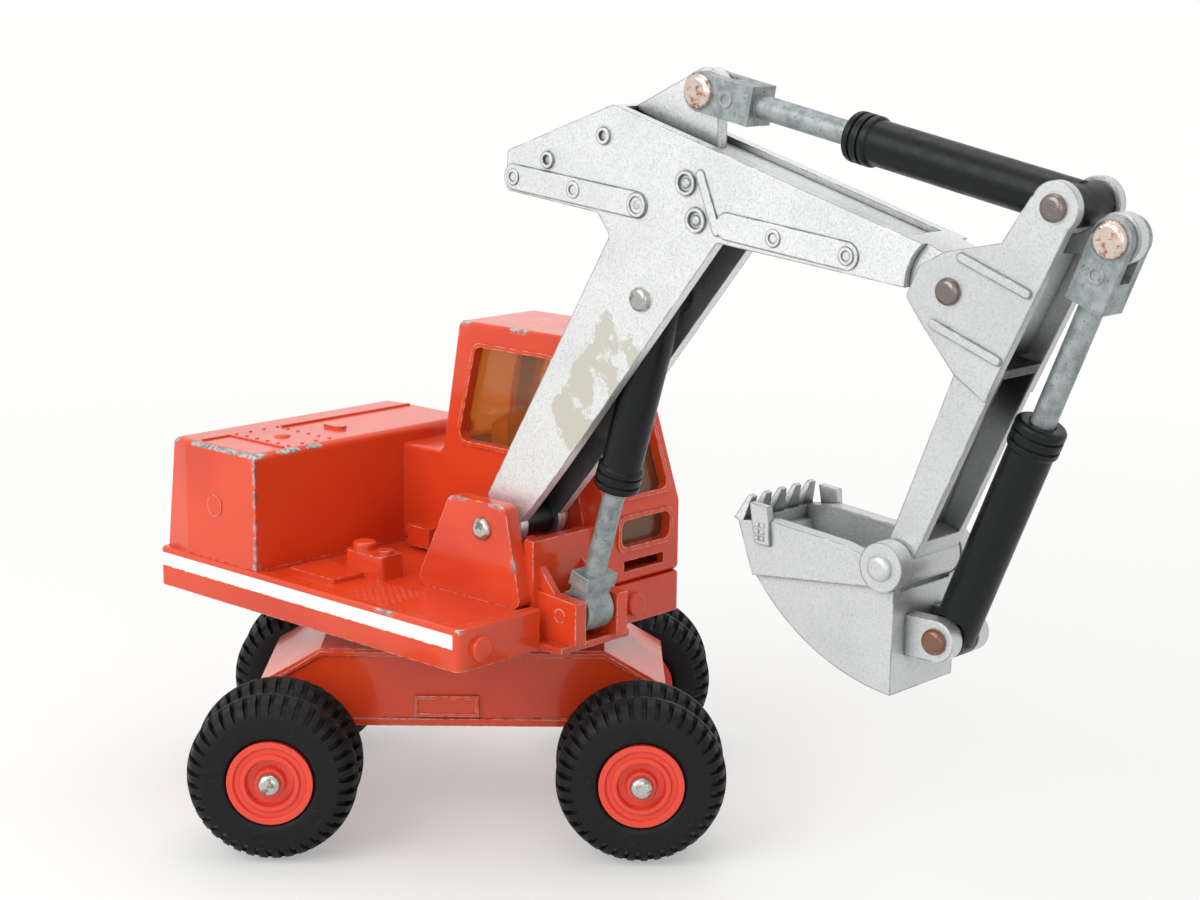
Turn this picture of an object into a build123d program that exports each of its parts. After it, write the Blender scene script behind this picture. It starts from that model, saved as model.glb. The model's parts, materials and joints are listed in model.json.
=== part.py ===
from build123d import *
from math import cos, sin, radians, hypot
import os

os.makedirs("parts", exist_ok=True)

# Placing: the slew axis in the shared frame and the turn of the house on it
AXIS_X = -14.05
AXIS_Y = 12.32
SLEW = -43.0

# Fits
RUN = 0.06
SLIDE = 0.15
SIDE_GAP = 0.2

# Wheels and axles
TYRE_R = 10.0
TYRE_W = 5.6
TWIN_GAP = 0.8
TYRE_SEAT_R = 5.0
TYRE_ROUND = 1.4
OUTER_FACE = 25.1
WHEEL_BASE = 43.0
HUB_RIM_R = 4.3
HUB_GROOVE_R = 3.4
HUB_DISH_R = 2.9
HUB_BOSS_R = 1.9
HUB_GROOVE = 0.35
HUB_DISH = 0.9
HUB_DRAFT = 0.2
AXLE_R = 1.0
AXLE_HEAD_R = 1.35
AXLE_HEAD = 0.9

# Chassis
CHASSIS_W = 19.4
CHASSIS_FLAT = 4.3
CHASSIS_OVERHANG = 3.2
CHASSIS_TOP_Z = 21.7
CHASSIS_SLOPE_Z = 17.3
CHASSIS_BASE_Z = 12.1
CHASSIS_ROUND = 0.6
BASE_T = 0.9
BASE_LIP = 0.35
CHASSIS_WALL = 1.5
BEAD_H = 0.9
BEAD_T = 0.3
CARRIER_L = 6.4
CARRIER_R = 2.4
BEARING_R = 2.2
CARRIER_GAP = 0.4
PANEL_X = -1.9
PANEL_L = 7.8
PANEL_H = 2.6
PANEL_T = 0.6
PANEL_RIM = 0.4
PANEL_SINK = 0.2
TABLE_R = 8.0
TABLE_H = 2.2
SLEW_R = 2.0
SLEW_HEAD_R = 3.4
SLEW_HEAD = 1.2

# Deck tray
TRAY_GAP = 0.1
TRAY_REAR = 37.1
TRAY_FRONT = 18.6
TRAY_W = 38.6
TRAY_H = 5.0
TRAY_WALL = 1.4
TRAY_CORNER = 1.0
TRAY_EDGE = 0.35
LIP_H = 0.4
DECK_T = 1.3
NOTCH_CLEAR = 0.1
SHELF_T = 0.8
SHELF_OUT = 3.4
LAMP_R = 1.5
LAMP_T = 0.7
LAMP_ROUND = 0.3
LAMP_RIGHT = 15.9
LAMP_LEFT = 10.6
LAMP_UP = 2.3
PAD_L = 8.3
PAD_W = 5.6
PAD_H = 0.6
PAD_U = -11.9
PAD_V = -12.2
BOX_L = 7.0
BOX_W = 4.2
BOX_H = 3.0
BOX_DRAFT = 4.0
BOX_ROUND = 0.8
BOX_U = -8.0
BOX_V = -8.2
CAP_R = 1.5
CAP_H = 1.0
CAP_BACK = 1.7
CAP_ROUND = 0.4
PLUG_R = 0.9
PLUG_H = 0.5
PLUG_FORE = 2.1

# House casting
HOUSING_W = 37.6
HOUSING_FRONT = 18.0
HOUSING_REAR = 36.8
HOUSING_LEAN = 2.3
HOUSING_H = 14.7
HOUSING_CUT_U = 5.2
HOUSING_CUT_V = 0.9
HOUSING_ROUND = 0.9
SKIN = 1.4
OVAL_L = 3.6
OVAL_W = 1.8
OVAL_H = 0.4
OVAL_U = -24.6
DISC_R = 1.4
DISC_T = 0.15
DISC_U = -25.9
DISC_UP = 7.1
STEP_BACK = 3.1
STEP_L = 4.0
STEP_W = 2.2
STEP_H = 2.7
CAB_RIGHT = 6.0
CAB_SKIN = 1.1
CAB_FRONT = 18.3
CAB_SILL = 9.0
CAB_BACK_H = 12.8
CAB_BACK_LOW = 10.7
CAB_BACK_TOP = 7.6
CAB_ROOF_H = 30.1
CAB_ROOF_FRONT = 10.9
CAB_ROUND = 0.9
PANE_T = 0.6
WINDOW_R = 1.1
WINDOW_TOP = 3.0
WINDOW_UP = 2.0
WINDOW_BACK = 3.3
WINDOW_FRONT = 2.0
WINDOW_FOOT = 4.6
SCREEN_POST = 1.9
FRAME_W = 0.55
FRAME_T = 0.3
LOW_PANE_H = 3.4
LOW_PANE_UP = 6.4
LOW_PANE_POST = 2.2
GRILLE_H = 1.3
GRILLE_UP = 2.2
GRILLE_POST = 3.0

# Boom bracket and lugs
BRACKET_OUT = 7.3
BRACKET_T = 2.0
BRACKET_FOOT = -1.4
BRACKET_BACK = 5.7
BRACKET_FORE = 3.6
BRACKET_UP = 3.2
BRACKET_ROUND = 1.2
FRONT_WALL_U = 15.2
FRONT_WALL_T = 1.5
FRONT_WALL_H = 8.0
NOTCH_HALF = 6.0
EAR_OUT = 4.5
EAR_IN = 2.7
EAR_NOSE = 2.6
EAR_TOP = 1.8
EAR_RISE = 0.7
EAR_ROUND = 1.6
GUSSET_T = 1.0
GUSSET_H = 2.6
GUSSET_L = 2.8

# Pins in the side view, forward from the slew axis and up from the ground
BOOM_PIN = (10.3, 37.5)
LUG_PIN = (20.3, 28.2)
BOOM_RAM_PIN = (31.8, 66.8)
CLEVIS_PIN = (38.0, 89.8)
STICK_PIN = (72.6, 71.9)
STICK_RAM_PIN = (84.0, 81.0)
TIP_PIN = (88.8, 78.2)
BUCKET_PIN = (67.2, 43.2)
BUCKET_RAM_PIN = (72.0, 35.7)
PIN_R = 0.8
RIVET_HEAD_R = 1.4
BIG_HEAD_R = 1.9
RIVET_HEAD = 0.8
RIVET_DOME = 0.8
PLAY = 1.05

# Boom: corners of its side view from the boom pin, and from the stick pin at the nose
BOOM_W = 7.9
BOOM_WALL = 1.4
BOOM_RIM = 1.3
BOOM_WEB = 1.2
BOOM_SINK = 0.7
BOOM_ROUND = 0.7
BOOM_FOOT_R = 3.0
BOOM_BUSH_R = 2.2
BOOM_HEEL = (-2.8, 2.8)
BOOM_ELBOW = (16.7, 36.0)
BOOM_NOTCH = (14.8, 38.4)
BOOM_TAIL_LOW = (0.4, 39.9)
BOOM_TAIL_TOP = (0.6, 44.5)
BOOM_PEAK = (17.0, 50.5)
BOOM_THROAT = (32.2, 36.5)
BOOM_SHIN = (9.4, 8.1)
BOOM_TOE = (3.0, 0.6)
BOOM_MOUTH = 3.0
NOSE_R = 2.6
NOSE_TOP = (-3.9, 4.4)
NOSE_UNDER = (-3.9, -0.4)
NOSE_CLEAR_R = 5.6
TONGUE_W = 6.2
BOOM_EAR_T = 1.6
BOOM_EAR_R = 2.55
BOOM_EAR_ROOT = (-10.4, -2.2)
BOOM_EAR_TOP = (-1.0, 2.3)
BOOM_EAR_FRONT = 1.7
BOOM_EAR_DROP = 6.5
STRAP_T = 0.2
STRAP_W = 2.9
RING_R = 0.95
RING_W = 0.4
RING_T = 0.35
TAIL_STRAP = ((1.7, 41.5), (20.8, 39.7))
NECK_STRAP = ((33.6, 38.4), (49.5, 36.7))
CROSS_STRAP = ((29.8, 43.6), (32.2, 37.8))
CROSS_W = 1.1
SMALL_RINGS = ((15.7, 47.0), (7.1, 43.8), (1.7, 41.5), (11.2, 40.7), (40.0, 37.7), (49.5, 36.7))
BIG_RINGS = ((20.8, 39.7), (29.3, 38.7), (27.8, 42.6))
BIG_RING_R = 1.35

# Stick: corners of its side view from the stick pin
STICK_GAP = 0.2
STICK_T = 1.1
STICK_ROUND = 0.8
STICK_CHIN = (-5.1, -1.0)
STICK_CHEEK = (-3.6, 2.3)
STICK_BROW = (-0.6, 3.9)
STICK_SADDLE = (5.8, 5.3)
STICK_FRONT_LOW = (4.7, -10.5)
STICK_JAW = (1.0, -8.2)
STICK_THROAT = (-2.6, -4.1)
STICK_EAR_R = 2.6
STICK_WEB = 1.2
STICK_WEB_TOP = 0.23
STICK_SINK = 1.9
LEG_W = 8.0
LEG_END_R = 2.5
LEG_END_STEP = 0.2
LEG_BACK = 1.7
LEG_FRONT = 1.9
LEG_TOP_BACK = (1.4, -6.6)
LEG_TOP_FRONT = (6.2, -7.3)
LEG_SLOT_FROM = 0.18
LEG_SLOT_TO = 1.0
RIB_W = 0.9
RIB_T = 0.35
UPPER_RIB = ((1.4, 3.5), (9.0, 0.7))
LOWER_RIB = ((-1.6, -3.4), (6.0, -6.2))
TIP_EAR_T = 1.6
TIP_EAR_R = 2.55
TIP_NECK_TOP = (-2.2, 1.2)
TIP_NECK_LOW = (-1.9, -1.7)
TIP_ROOT_TOP = (-6.4, -0.9)
TIP_ROOT_LOW = (-6.8, -1.9)

# Bucket: corners of its side view from the bucket pin
BUCKET_WALL = 1.2
BUCKET_BAR = 0.55
BUCKET_LIP = (-19.0, 1.7)
BUCKET_HEEL = (-16.9, -4.0)
BUCKET_BELLY = (-9.0, -10.6)
BUCKET_BACK = (1.1, -13.6)
BUCKET_BAR_LOW = 2.1
BUCKET_RIDGE = (-5.4, 1.5)
BUCKET_CORNER = (-14.6, 2.3)
BUCKET_ROUND = 0.5
BUCKET_BOSS_R = 2.6
BUCKET_MOUTH = 4.0
BUCKET_BOSS_T = 0.4
LUG_OUT = 3.3
LUG_T = 1.8
LUG_R = 2.2
TOOTH_W = 2.0
TOOTH_TIP_W = 0.9
TOOTH_COUNT = 5
CUTTER_T = 0.4
CUTTER_TOP = ((-17.2, 4.0), (-14.8, 3.8))
CUTTER_FOOT = ((-14.4, -0.4), (-16.4, -0.3))
TOOTH_TIP = (-17.9, 4.4)
TOOTH_TIP_T = 0.5

# Rams
RAM_R = 2.4
RAM_COLLAR_L = 3.2
COLLAR_STEP = 0.3
COLLAR_ROUND = 0.5
COLLAR_GROOVE = 0.35
ROD_R = 1.3
CLEVIS_W = 4.0
CLEVIS_H = 4.3
CLEVIS_L = 7.1
CLEVIS_NOSE = 2.2
CLEVIS_RING_AT = 3.7
RAM_EYE_R = 2.2
BORE_END = 3.2
ROD_END_R = 2.6
ROD_END_W = 4.2
ROD_END_L = 5.0
ROD_END_T = 2.6
ROD_BAR_L = 1.8
BOOM_BARREL_L = 24.2
STICK_BARREL_L = 27.1
BUCKET_BARREL_L = 25.4
BOOM_ROD_IN = 10.5
STICK_ROD_IN = 11.4
BUCKET_ROD_IN = 13.0

# Heights and widths that follow
TRAY_Z = CHASSIS_TOP_Z + TABLE_H + TRAY_GAP
TRAY_TOP_Z = TRAY_Z + TRAY_H
DECK_Z = TRAY_TOP_Z - LIP_H
CHASSIS_END = WHEEL_BASE / 2 + CHASSIS_OVERHANG
CHASSIS_TOP = WHEEL_BASE / 2 - CHASSIS_FLAT
PAIR_W = 2 * TYRE_W + TWIN_GAP
INNER_FACE = OUTER_FACE - PAIR_W
BEARING_END = INNER_FACE - CARRIER_GAP
CAB_LEFT = TRAY_W / 2
CAB_W = CAB_LEFT - CAB_RIGHT
BRACKET_IN = BRACKET_OUT - BRACKET_T
STICK_IN = TONGUE_W / 2 + STICK_GAP
STICK_OUT = STICK_IN + STICK_T
LEG_END_OUT = LEG_W / 2 + LEG_END_STEP
BUCKET_IN = LEG_END_OUT + SIDE_GAP
BUCKET_SIDE = BUCKET_IN + BUCKET_WALL
BUCKET_OUT = BUCKET_SIDE + BUCKET_BAR
PLAY_R = PIN_R + PLAY
ROD_BAR_W = 2 * (EAR_IN - SIDE_GAP)
BOOM_EYE = BOOM_W / 2 - BOOM_WALL - SIDE_GAP
STICK_EYE = STICK_IN - SIDE_GAP
BUCKET_EYE = LUG_OUT - LUG_T - SIDE_GAP
CLEVIS_GAP = BOOM_EAR_T + 2 * SIDE_GAP

# Planes of the chassis, of the house and of the arm seen from the machine's right
turn = radians(SLEW)
axis_foot = (AXIS_X, AXIS_Y, 0)
ground = Plane(axis_foot)
flank = Plane(axis_foot, x_dir=(1, 0, 0), z_dir=(0, -1, 0))
house = Plane(axis_foot, x_dir=(cos(turn), sin(turn), 0), z_dir=(0, 0, 1))
arm = Plane(axis_foot, x_dir=(cos(turn), sin(turn), 0), z_dir=(sin(turn), -cos(turn), 0))
across = Axis(arm.origin, arm.z_dir)
forward = Axis(house.origin, house.x_dir)


def near(point, ahead, up):
    return (point[0] + ahead, point[1] + up)


def corner(point, offset_pair):
    return near(point, offset_pair[0], offset_pair[1])


def between(start, end, share):
    return (start[0] + (end[0] - start[0]) * share, start[1] + (end[1] - start[1]) * share)


def aside(start, end, back):
    reach = hypot(end[0] - start[0], end[1] - start[1])
    return (-(end[1] - start[1]) / reach * back, (end[0] - start[0]) / reach * back)


def ram_plane(start, end):
    foot = arm.from_local_coords((start[0], start[1], 0))
    head = arm.from_local_coords((end[0], end[1], 0))
    return Plane(foot, x_dir=arm.z_dir, z_dir=head - foot)


def ram_length(start, end):
    return hypot(end[0] - start[0], end[1] - start[1])


pieces = {}

# Chassis casting, open below and closed by its base
CHASSIS_FOOT_Z = CHASSIS_BASE_Z + BASE_T
with BuildPart() as chassis:
    with BuildSketch(flank) as chassis_side:
        Polygon(
            (-CHASSIS_END, CHASSIS_FOOT_Z),
            (CHASSIS_END, CHASSIS_FOOT_Z),
            (CHASSIS_END, CHASSIS_SLOPE_Z),
            (CHASSIS_TOP, CHASSIS_TOP_Z),
            (-CHASSIS_TOP, CHASSIS_TOP_Z),
            (-CHASSIS_END, CHASSIS_SLOPE_Z),
            align=None,
        )
        fillet(chassis_side.vertices().group_by(Axis.Z)[1:], CHASSIS_ROUND)
    extrude(amount=CHASSIS_W / 2, both=True)
    with BuildSketch(flank):
        Polygon(
            (-CHASSIS_END, CHASSIS_SLOPE_Z - BEAD_H),
            (-CHASSIS_TOP, CHASSIS_TOP_Z - BEAD_H),
            (CHASSIS_TOP, CHASSIS_TOP_Z - BEAD_H),
            (CHASSIS_END, CHASSIS_SLOPE_Z - BEAD_H),
            (CHASSIS_END, CHASSIS_SLOPE_Z - CHASSIS_ROUND),
            (CHASSIS_TOP, CHASSIS_TOP_Z - CHASSIS_ROUND / 2),
            (-CHASSIS_TOP, CHASSIS_TOP_Z - CHASSIS_ROUND / 2),
            (-CHASSIS_END, CHASSIS_SLOPE_Z - CHASSIS_ROUND),
            align=None,
        )
    extrude(amount=CHASSIS_W / 2 + BEAD_T, both=True)
    with BuildSketch(flank):
        with Locations((PANEL_X, CHASSIS_FOOT_Z + BASE_LIP)):
            Rectangle(PANEL_L, PANEL_H, align=(Align.CENTER, Align.MIN))
    extrude(amount=CHASSIS_W / 2 + PANEL_T, both=True)
    for side_plane in (flank.offset(CHASSIS_W / 2 + PANEL_T), flank.offset(-CHASSIS_W / 2 - PANEL_T + PANEL_SINK)):
        with BuildSketch(side_plane):
            with Locations((PANEL_X, CHASSIS_FOOT_Z + BASE_LIP + PANEL_RIM)):
                Rectangle(PANEL_L - 2 * PANEL_RIM, PANEL_H - 2 * PANEL_RIM, align=(Align.CENTER, Align.MIN))
        extrude(amount=-PANEL_SINK, mode=Mode.SUBTRACT)
    with BuildSketch(flank):
        Polygon(
            (-CHASSIS_END + CHASSIS_WALL, CHASSIS_BASE_Z),
            (CHASSIS_END - CHASSIS_WALL, CHASSIS_BASE_Z),
            (CHASSIS_END - CHASSIS_WALL, CHASSIS_SLOPE_Z - CHASSIS_WALL),
            (CHASSIS_TOP, CHASSIS_TOP_Z - CHASSIS_WALL),
            (-CHASSIS_TOP, CHASSIS_TOP_Z - CHASSIS_WALL),
            (-CHASSIS_END + CHASSIS_WALL, CHASSIS_SLOPE_Z - CHASSIS_WALL),
            align=None,
        )
    extrude(amount=CHASSIS_W / 2 - CHASSIS_WALL, both=True, mode=Mode.SUBTRACT)
    with BuildSketch(ground.offset(CHASSIS_TOP_Z)):
        Circle(TABLE_R)
    extrude(amount=TABLE_H)
    with BuildSketch(ground.offset(CHASSIS_TOP_Z - CHASSIS_WALL)):
        Circle(SLEW_R)
    extrude(amount=TABLE_H + CHASSIS_WALL, mode=Mode.SUBTRACT)
pieces["chassis"] = chassis

# Chassis base with the two axle carriers
axle_places = ((-WHEEL_BASE / 2, TYRE_R), (WHEEL_BASE / 2, TYRE_R))
with BuildPart() as chassis_base:
    with BuildSketch(ground.offset(CHASSIS_BASE_Z)):
        Rectangle(2 * CHASSIS_END, CHASSIS_W + 2 * BASE_LIP)
    extrude(amount=BASE_T)
    with BuildSketch(flank):
        with Locations(*axle_places):
            Circle(BEARING_R)
    extrude(amount=BEARING_END, both=True)
    with BuildSketch(flank):
        for place in axle_places:
            with Locations((place[0], TYRE_R - CARRIER_R)):
                Rectangle(CARRIER_L, CARRIER_R + CHASSIS_BASE_Z - TYRE_R, align=(Align.CENTER, Align.MIN))
    extrude(amount=CHASSIS_W / 2, both=True)
    with BuildSketch(flank):
        with Locations(*axle_places):
            Circle(AXLE_R)
    extrude(amount=OUTER_FACE, both=True, mode=Mode.SUBTRACT)
pieces["chassis_base"] = chassis_base

# Axles, plain steel pins with domed heads
for name, place in (("axle_rear", axle_places[0]), ("axle_front", axle_places[1])):
    with BuildPart() as axle:
        with BuildSketch(flank):
            with Locations(place):
                Circle(AXLE_R)
        extrude(amount=OUTER_FACE + SLIDE, both=True)
        for face_plane in (flank.offset(OUTER_FACE + SLIDE), flank.offset(-OUTER_FACE - SLIDE - AXLE_HEAD)):
            with BuildSketch(face_plane):
                with Locations(place):
                    Circle(AXLE_HEAD_R)
            extrude(amount=AXLE_HEAD)
        ends = axle.faces().sort_by(Axis.Y)
        fillet([*ends[0].edges(), *ends[-1].edges()], AXLE_HEAD * 0.85)
    pieces[name] = axle

# Twin wheels: one hub with stepped rings and two tyres at each corner
for name, side, hand in (
    ("right_rear", -1, -1),
    ("right_front", 1, -1),
    ("left_rear", -1, 1),
    ("left_front", 1, 1),
):
    wheel_centre = (AXIS_X + side * WHEEL_BASE / 2, AXIS_Y, TYRE_R)
    spin = Plane(wheel_centre, x_dir=(0, hand, 0), z_dir=(1, 0, 0))
    wheel_axis = Axis(wheel_centre, (0, 1, 0))
    with BuildPart() as hub:
        with BuildSketch(spin):
            Polygon(
                (INNER_FACE, AXLE_R + RUN),
                (INNER_FACE, TYRE_SEAT_R),
                (OUTER_FACE, TYRE_SEAT_R),
                (OUTER_FACE, HUB_RIM_R),
                (OUTER_FACE - HUB_GROOVE, HUB_RIM_R - HUB_DRAFT),
                (OUTER_FACE - HUB_GROOVE, HUB_GROOVE_R + HUB_DRAFT),
                (OUTER_FACE, HUB_GROOVE_R),
                (OUTER_FACE, HUB_DISH_R),
                (OUTER_FACE - HUB_DISH, HUB_DISH_R - HUB_DRAFT),
                (OUTER_FACE - HUB_DISH, HUB_BOSS_R),
                (OUTER_FACE, HUB_BOSS_R - HUB_DRAFT),
                (OUTER_FACE, AXLE_R + RUN),
                align=None,
            )
        revolve(axis=wheel_axis)
    pieces["hub_" + name] = hub
    with BuildPart() as tyre:
        with BuildSketch(spin):
            for start in (INNER_FACE, OUTER_FACE - TYRE_W):
                with Locations((start, TYRE_SEAT_R)):
                    RectangleRounded(TYRE_W, TYRE_R - TYRE_SEAT_R, TYRE_ROUND, align=(Align.MIN, Align.MIN))
                    Rectangle(TYRE_W, TYRE_ROUND, align=(Align.MIN, Align.MIN))
        revolve(axis=wheel_axis)
    pieces["tyres_" + name] = tyre

# Slew pin, fast in the chassis with its head over the deck
with BuildPart() as slew_pin:
    with BuildSketch(ground.offset(CHASSIS_TOP_Z - CHASSIS_WALL)):
        Circle(SLEW_R)
    extrude(amount=DECK_Z + TRAY_GAP - CHASSIS_TOP_Z + CHASSIS_WALL)
    with BuildSketch(ground.offset(DECK_Z + TRAY_GAP)):
        Circle(SLEW_HEAD_R)
    extrude(amount=SLEW_HEAD)
    fillet(slew_pin.faces().sort_by(Axis.Z)[-1].edges(), SLEW_HEAD * 0.8)
pieces["slew_pin"] = slew_pin

# Deck tray with skirts, shelf under the lugs, lamps, pad and tool box
TRAY_L = TRAY_FRONT + TRAY_REAR
TRAY_MID = (TRAY_FRONT - TRAY_REAR) / 2
lamp_wall = Plane(
    house.from_local_coords((TRAY_FRONT, 0, TRAY_Z + LAMP_UP)), x_dir=house.y_dir, z_dir=house.x_dir
)
with BuildPart() as tray:
    with BuildSketch(house.offset(TRAY_Z)):
        with Locations((TRAY_MID, 0)):
            RectangleRounded(TRAY_L, TRAY_W, TRAY_CORNER)
    extrude(amount=TRAY_H)
    fillet(tray.faces().sort_by(Axis.Z)[-1].edges(), TRAY_EDGE)
    with BuildSketch(house.offset(DECK_Z)):
        with Locations((-HOUSING_FRONT, CAB_RIGHT)):
            Rectangle(
                HOUSING_FRONT + TRAY_FRONT - TRAY_WALL,
                CAB_RIGHT + TRAY_W / 2 - TRAY_WALL,
                align=(Align.MIN, Align.MAX),
            )
    extrude(amount=LIP_H, mode=Mode.SUBTRACT)
    with BuildSketch(house.offset(TRAY_Z)):
        with Locations((TRAY_MID, 0)):
            Rectangle(TRAY_L - 2 * TRAY_WALL, TRAY_W - 2 * TRAY_WALL)
        Circle(TABLE_R, mode=Mode.SUBTRACT)
    extrude(amount=TRAY_H - LIP_H - DECK_T, mode=Mode.SUBTRACT)
    with BuildSketch(house.offset(TRAY_Z)):
        with Locations((FRONT_WALL_U, 0)):
            Rectangle(
                TRAY_FRONT - FRONT_WALL_U + SHELF_OUT,
                2 * NOTCH_HALF - 2 * NOTCH_CLEAR,
                align=(Align.MIN, Align.CENTER),
            )
    extrude(amount=SHELF_T)
    with BuildSketch(house.offset(TRAY_Z + SHELF_T)):
        with Locations((FRONT_WALL_U - NOTCH_CLEAR, 0)):
            Rectangle(
                2 * TRAY_FRONT, 2 * (NOTCH_HALF + NOTCH_CLEAR), align=(Align.MIN, Align.CENTER)
            )
    extrude(amount=TRAY_H, mode=Mode.SUBTRACT)
    with BuildSketch(house.offset(DECK_Z)):
        with Locations((PAD_U, PAD_V)):
            Rectangle(PAD_L, PAD_W)
    extrude(amount=PAD_H)
    with BuildSketch(house.offset(DECK_Z)):
        with Locations((BOX_U, BOX_V)):
            RectangleRounded(BOX_L, BOX_W, BOX_ROUND)
    extrude(amount=BOX_H, taper=BOX_DRAFT)
    with BuildSketch(house.offset(DECK_Z + BOX_H)):
        with Locations((BOX_U - CAP_BACK, BOX_V)):
            Circle(CAP_R)
    extrude(amount=CAP_H)
    fillet(tray.faces().sort_by(Axis.Z)[-1].edges(), CAP_ROUND)
    with BuildSketch(house.offset(DECK_Z + BOX_H)):
        with Locations((BOX_U + PLUG_FORE, BOX_V)):
            Circle(PLUG_R)
    extrude(amount=PLUG_H)
    with BuildSketch(lamp_wall):
        with Locations((-LAMP_RIGHT, 0), (LAMP_LEFT, 0)):
            Circle(LAMP_R)
    extrude(amount=LAMP_T)
    fillet(tray.faces().filter_by(forward).sort_by(forward)[-3:-1].edges(), LAMP_ROUND)
    with BuildSketch(house.offset(TRAY_Z)):
        Circle(SLEW_R + RUN)
    extrude(amount=TRAY_H, mode=Mode.SUBTRACT)
pieces["deck_tray"] = tray

# Planes on the cab's walls
SCREEN_L = hypot(CAB_FRONT - CAB_ROOF_FRONT, CAB_ROOF_H - CAB_SILL)
REAR_L = hypot(CAB_BACK_LOW - CAB_BACK_TOP, CAB_ROOF_H - CAB_BACK_H)
CAB_MID = (CAB_LEFT + CAB_RIGHT) / 2
CAB_REAR = HOUSING_FRONT + SKIN / 2
front_wall = Plane(house.from_local_coords((CAB_FRONT, CAB_MID, TRAY_TOP_Z)), x_dir=house.y_dir, z_dir=house.x_dir)
screen_foot = house.from_local_coords((CAB_FRONT, CAB_MID, TRAY_TOP_Z + CAB_SILL))
screen_head = house.from_local_coords((CAB_ROOF_FRONT, CAB_MID, TRAY_TOP_Z + CAB_ROOF_H))
screen = Plane(screen_foot, x_dir=house.y_dir, z_dir=house.y_dir.cross(screen_head - screen_foot))
rear_foot = house.from_local_coords((-CAB_BACK_LOW, CAB_MID, TRAY_TOP_Z + CAB_BACK_H))
rear_head = house.from_local_coords((-CAB_BACK_TOP, CAB_MID, TRAY_TOP_Z + CAB_ROOF_H))
rear_wall = Plane(rear_foot, x_dir=-house.y_dir, z_dir=(-house.y_dir).cross(rear_head - rear_foot))
cab_outline = [
    (-CAB_REAR, TRAY_TOP_Z),
    (CAB_FRONT, TRAY_TOP_Z),
    (CAB_FRONT, TRAY_TOP_Z + CAB_SILL),
    (CAB_ROOF_FRONT, TRAY_TOP_Z + CAB_ROOF_H),
    (-CAB_BACK_TOP, TRAY_TOP_Z + CAB_ROOF_H),
    (-CAB_BACK_LOW, TRAY_TOP_Z + CAB_BACK_H),
    (-CAB_REAR, TRAY_TOP_Z + CAB_BACK_H),
]
side_window = [
    (-CAB_BACK_TOP + WINDOW_BACK, TRAY_TOP_Z + CAB_ROOF_H - WINDOW_TOP),
    (CAB_ROOF_FRONT - WINDOW_FRONT, TRAY_TOP_Z + CAB_ROOF_H - WINDOW_TOP),
    (CAB_FRONT - WINDOW_FOOT, TRAY_TOP_Z + CAB_BACK_H + WINDOW_UP),
    (-CAB_BACK_LOW + WINDOW_BACK, TRAY_TOP_Z + CAB_BACK_H + WINDOW_UP),
]

# Engine housing with a leaning back and cut corners
with BuildPart() as housing:
    with BuildSketch(arm) as housing_side:
        Polygon(
            (-HOUSING_FRONT, TRAY_TOP_Z),
            (-HOUSING_FRONT, TRAY_TOP_Z + HOUSING_H),
            (-HOUSING_REAR + HOUSING_LEAN, TRAY_TOP_Z + HOUSING_H),
            (-HOUSING_REAR, TRAY_TOP_Z),
            align=None,
        )
    extrude(amount=HOUSING_W / 2, both=True)
    with BuildSketch(house.offset(TRAY_TOP_Z)):
        for hand in (-1, 1):
            Polygon(
                (-HOUSING_REAR, hand * HOUSING_W / 2),
                (-HOUSING_REAR + HOUSING_CUT_U, hand * HOUSING_W / 2),
                (-HOUSING_REAR, hand * (HOUSING_W / 2 - HOUSING_CUT_V)),
                align=None,
            )
    extrude(amount=HOUSING_H, mode=Mode.SUBTRACT)
    fillet(housing.faces().sort_by(Axis.Z)[-1].edges(), HOUSING_ROUND)
    with BuildSketch(house.offset(TRAY_TOP_Z + HOUSING_H)):
        with Locations((OVAL_U, 0)):
            SlotOverall(OVAL_L, OVAL_W)
    extrude(amount=OVAL_H)
    with BuildSketch(arm.offset(HOUSING_W / 2)):
        with Locations((DISC_U, TRAY_TOP_Z + DISC_UP)):
            Circle(DISC_R)
    extrude(amount=DISC_T)
    with BuildSketch(arm):
        Polygon(
            (-HOUSING_FRONT - SKIN, TRAY_TOP_Z),
            (-HOUSING_FRONT - SKIN, TRAY_TOP_Z + HOUSING_H - SKIN),
            (-HOUSING_REAR + HOUSING_LEAN + SKIN, TRAY_TOP_Z + HOUSING_H - SKIN),
            (-HOUSING_REAR + SKIN, TRAY_TOP_Z),
            align=None,
        )
    extrude(amount=HOUSING_W / 2 - HOUSING_CUT_V - SKIN / 2, both=True, mode=Mode.SUBTRACT)

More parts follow.
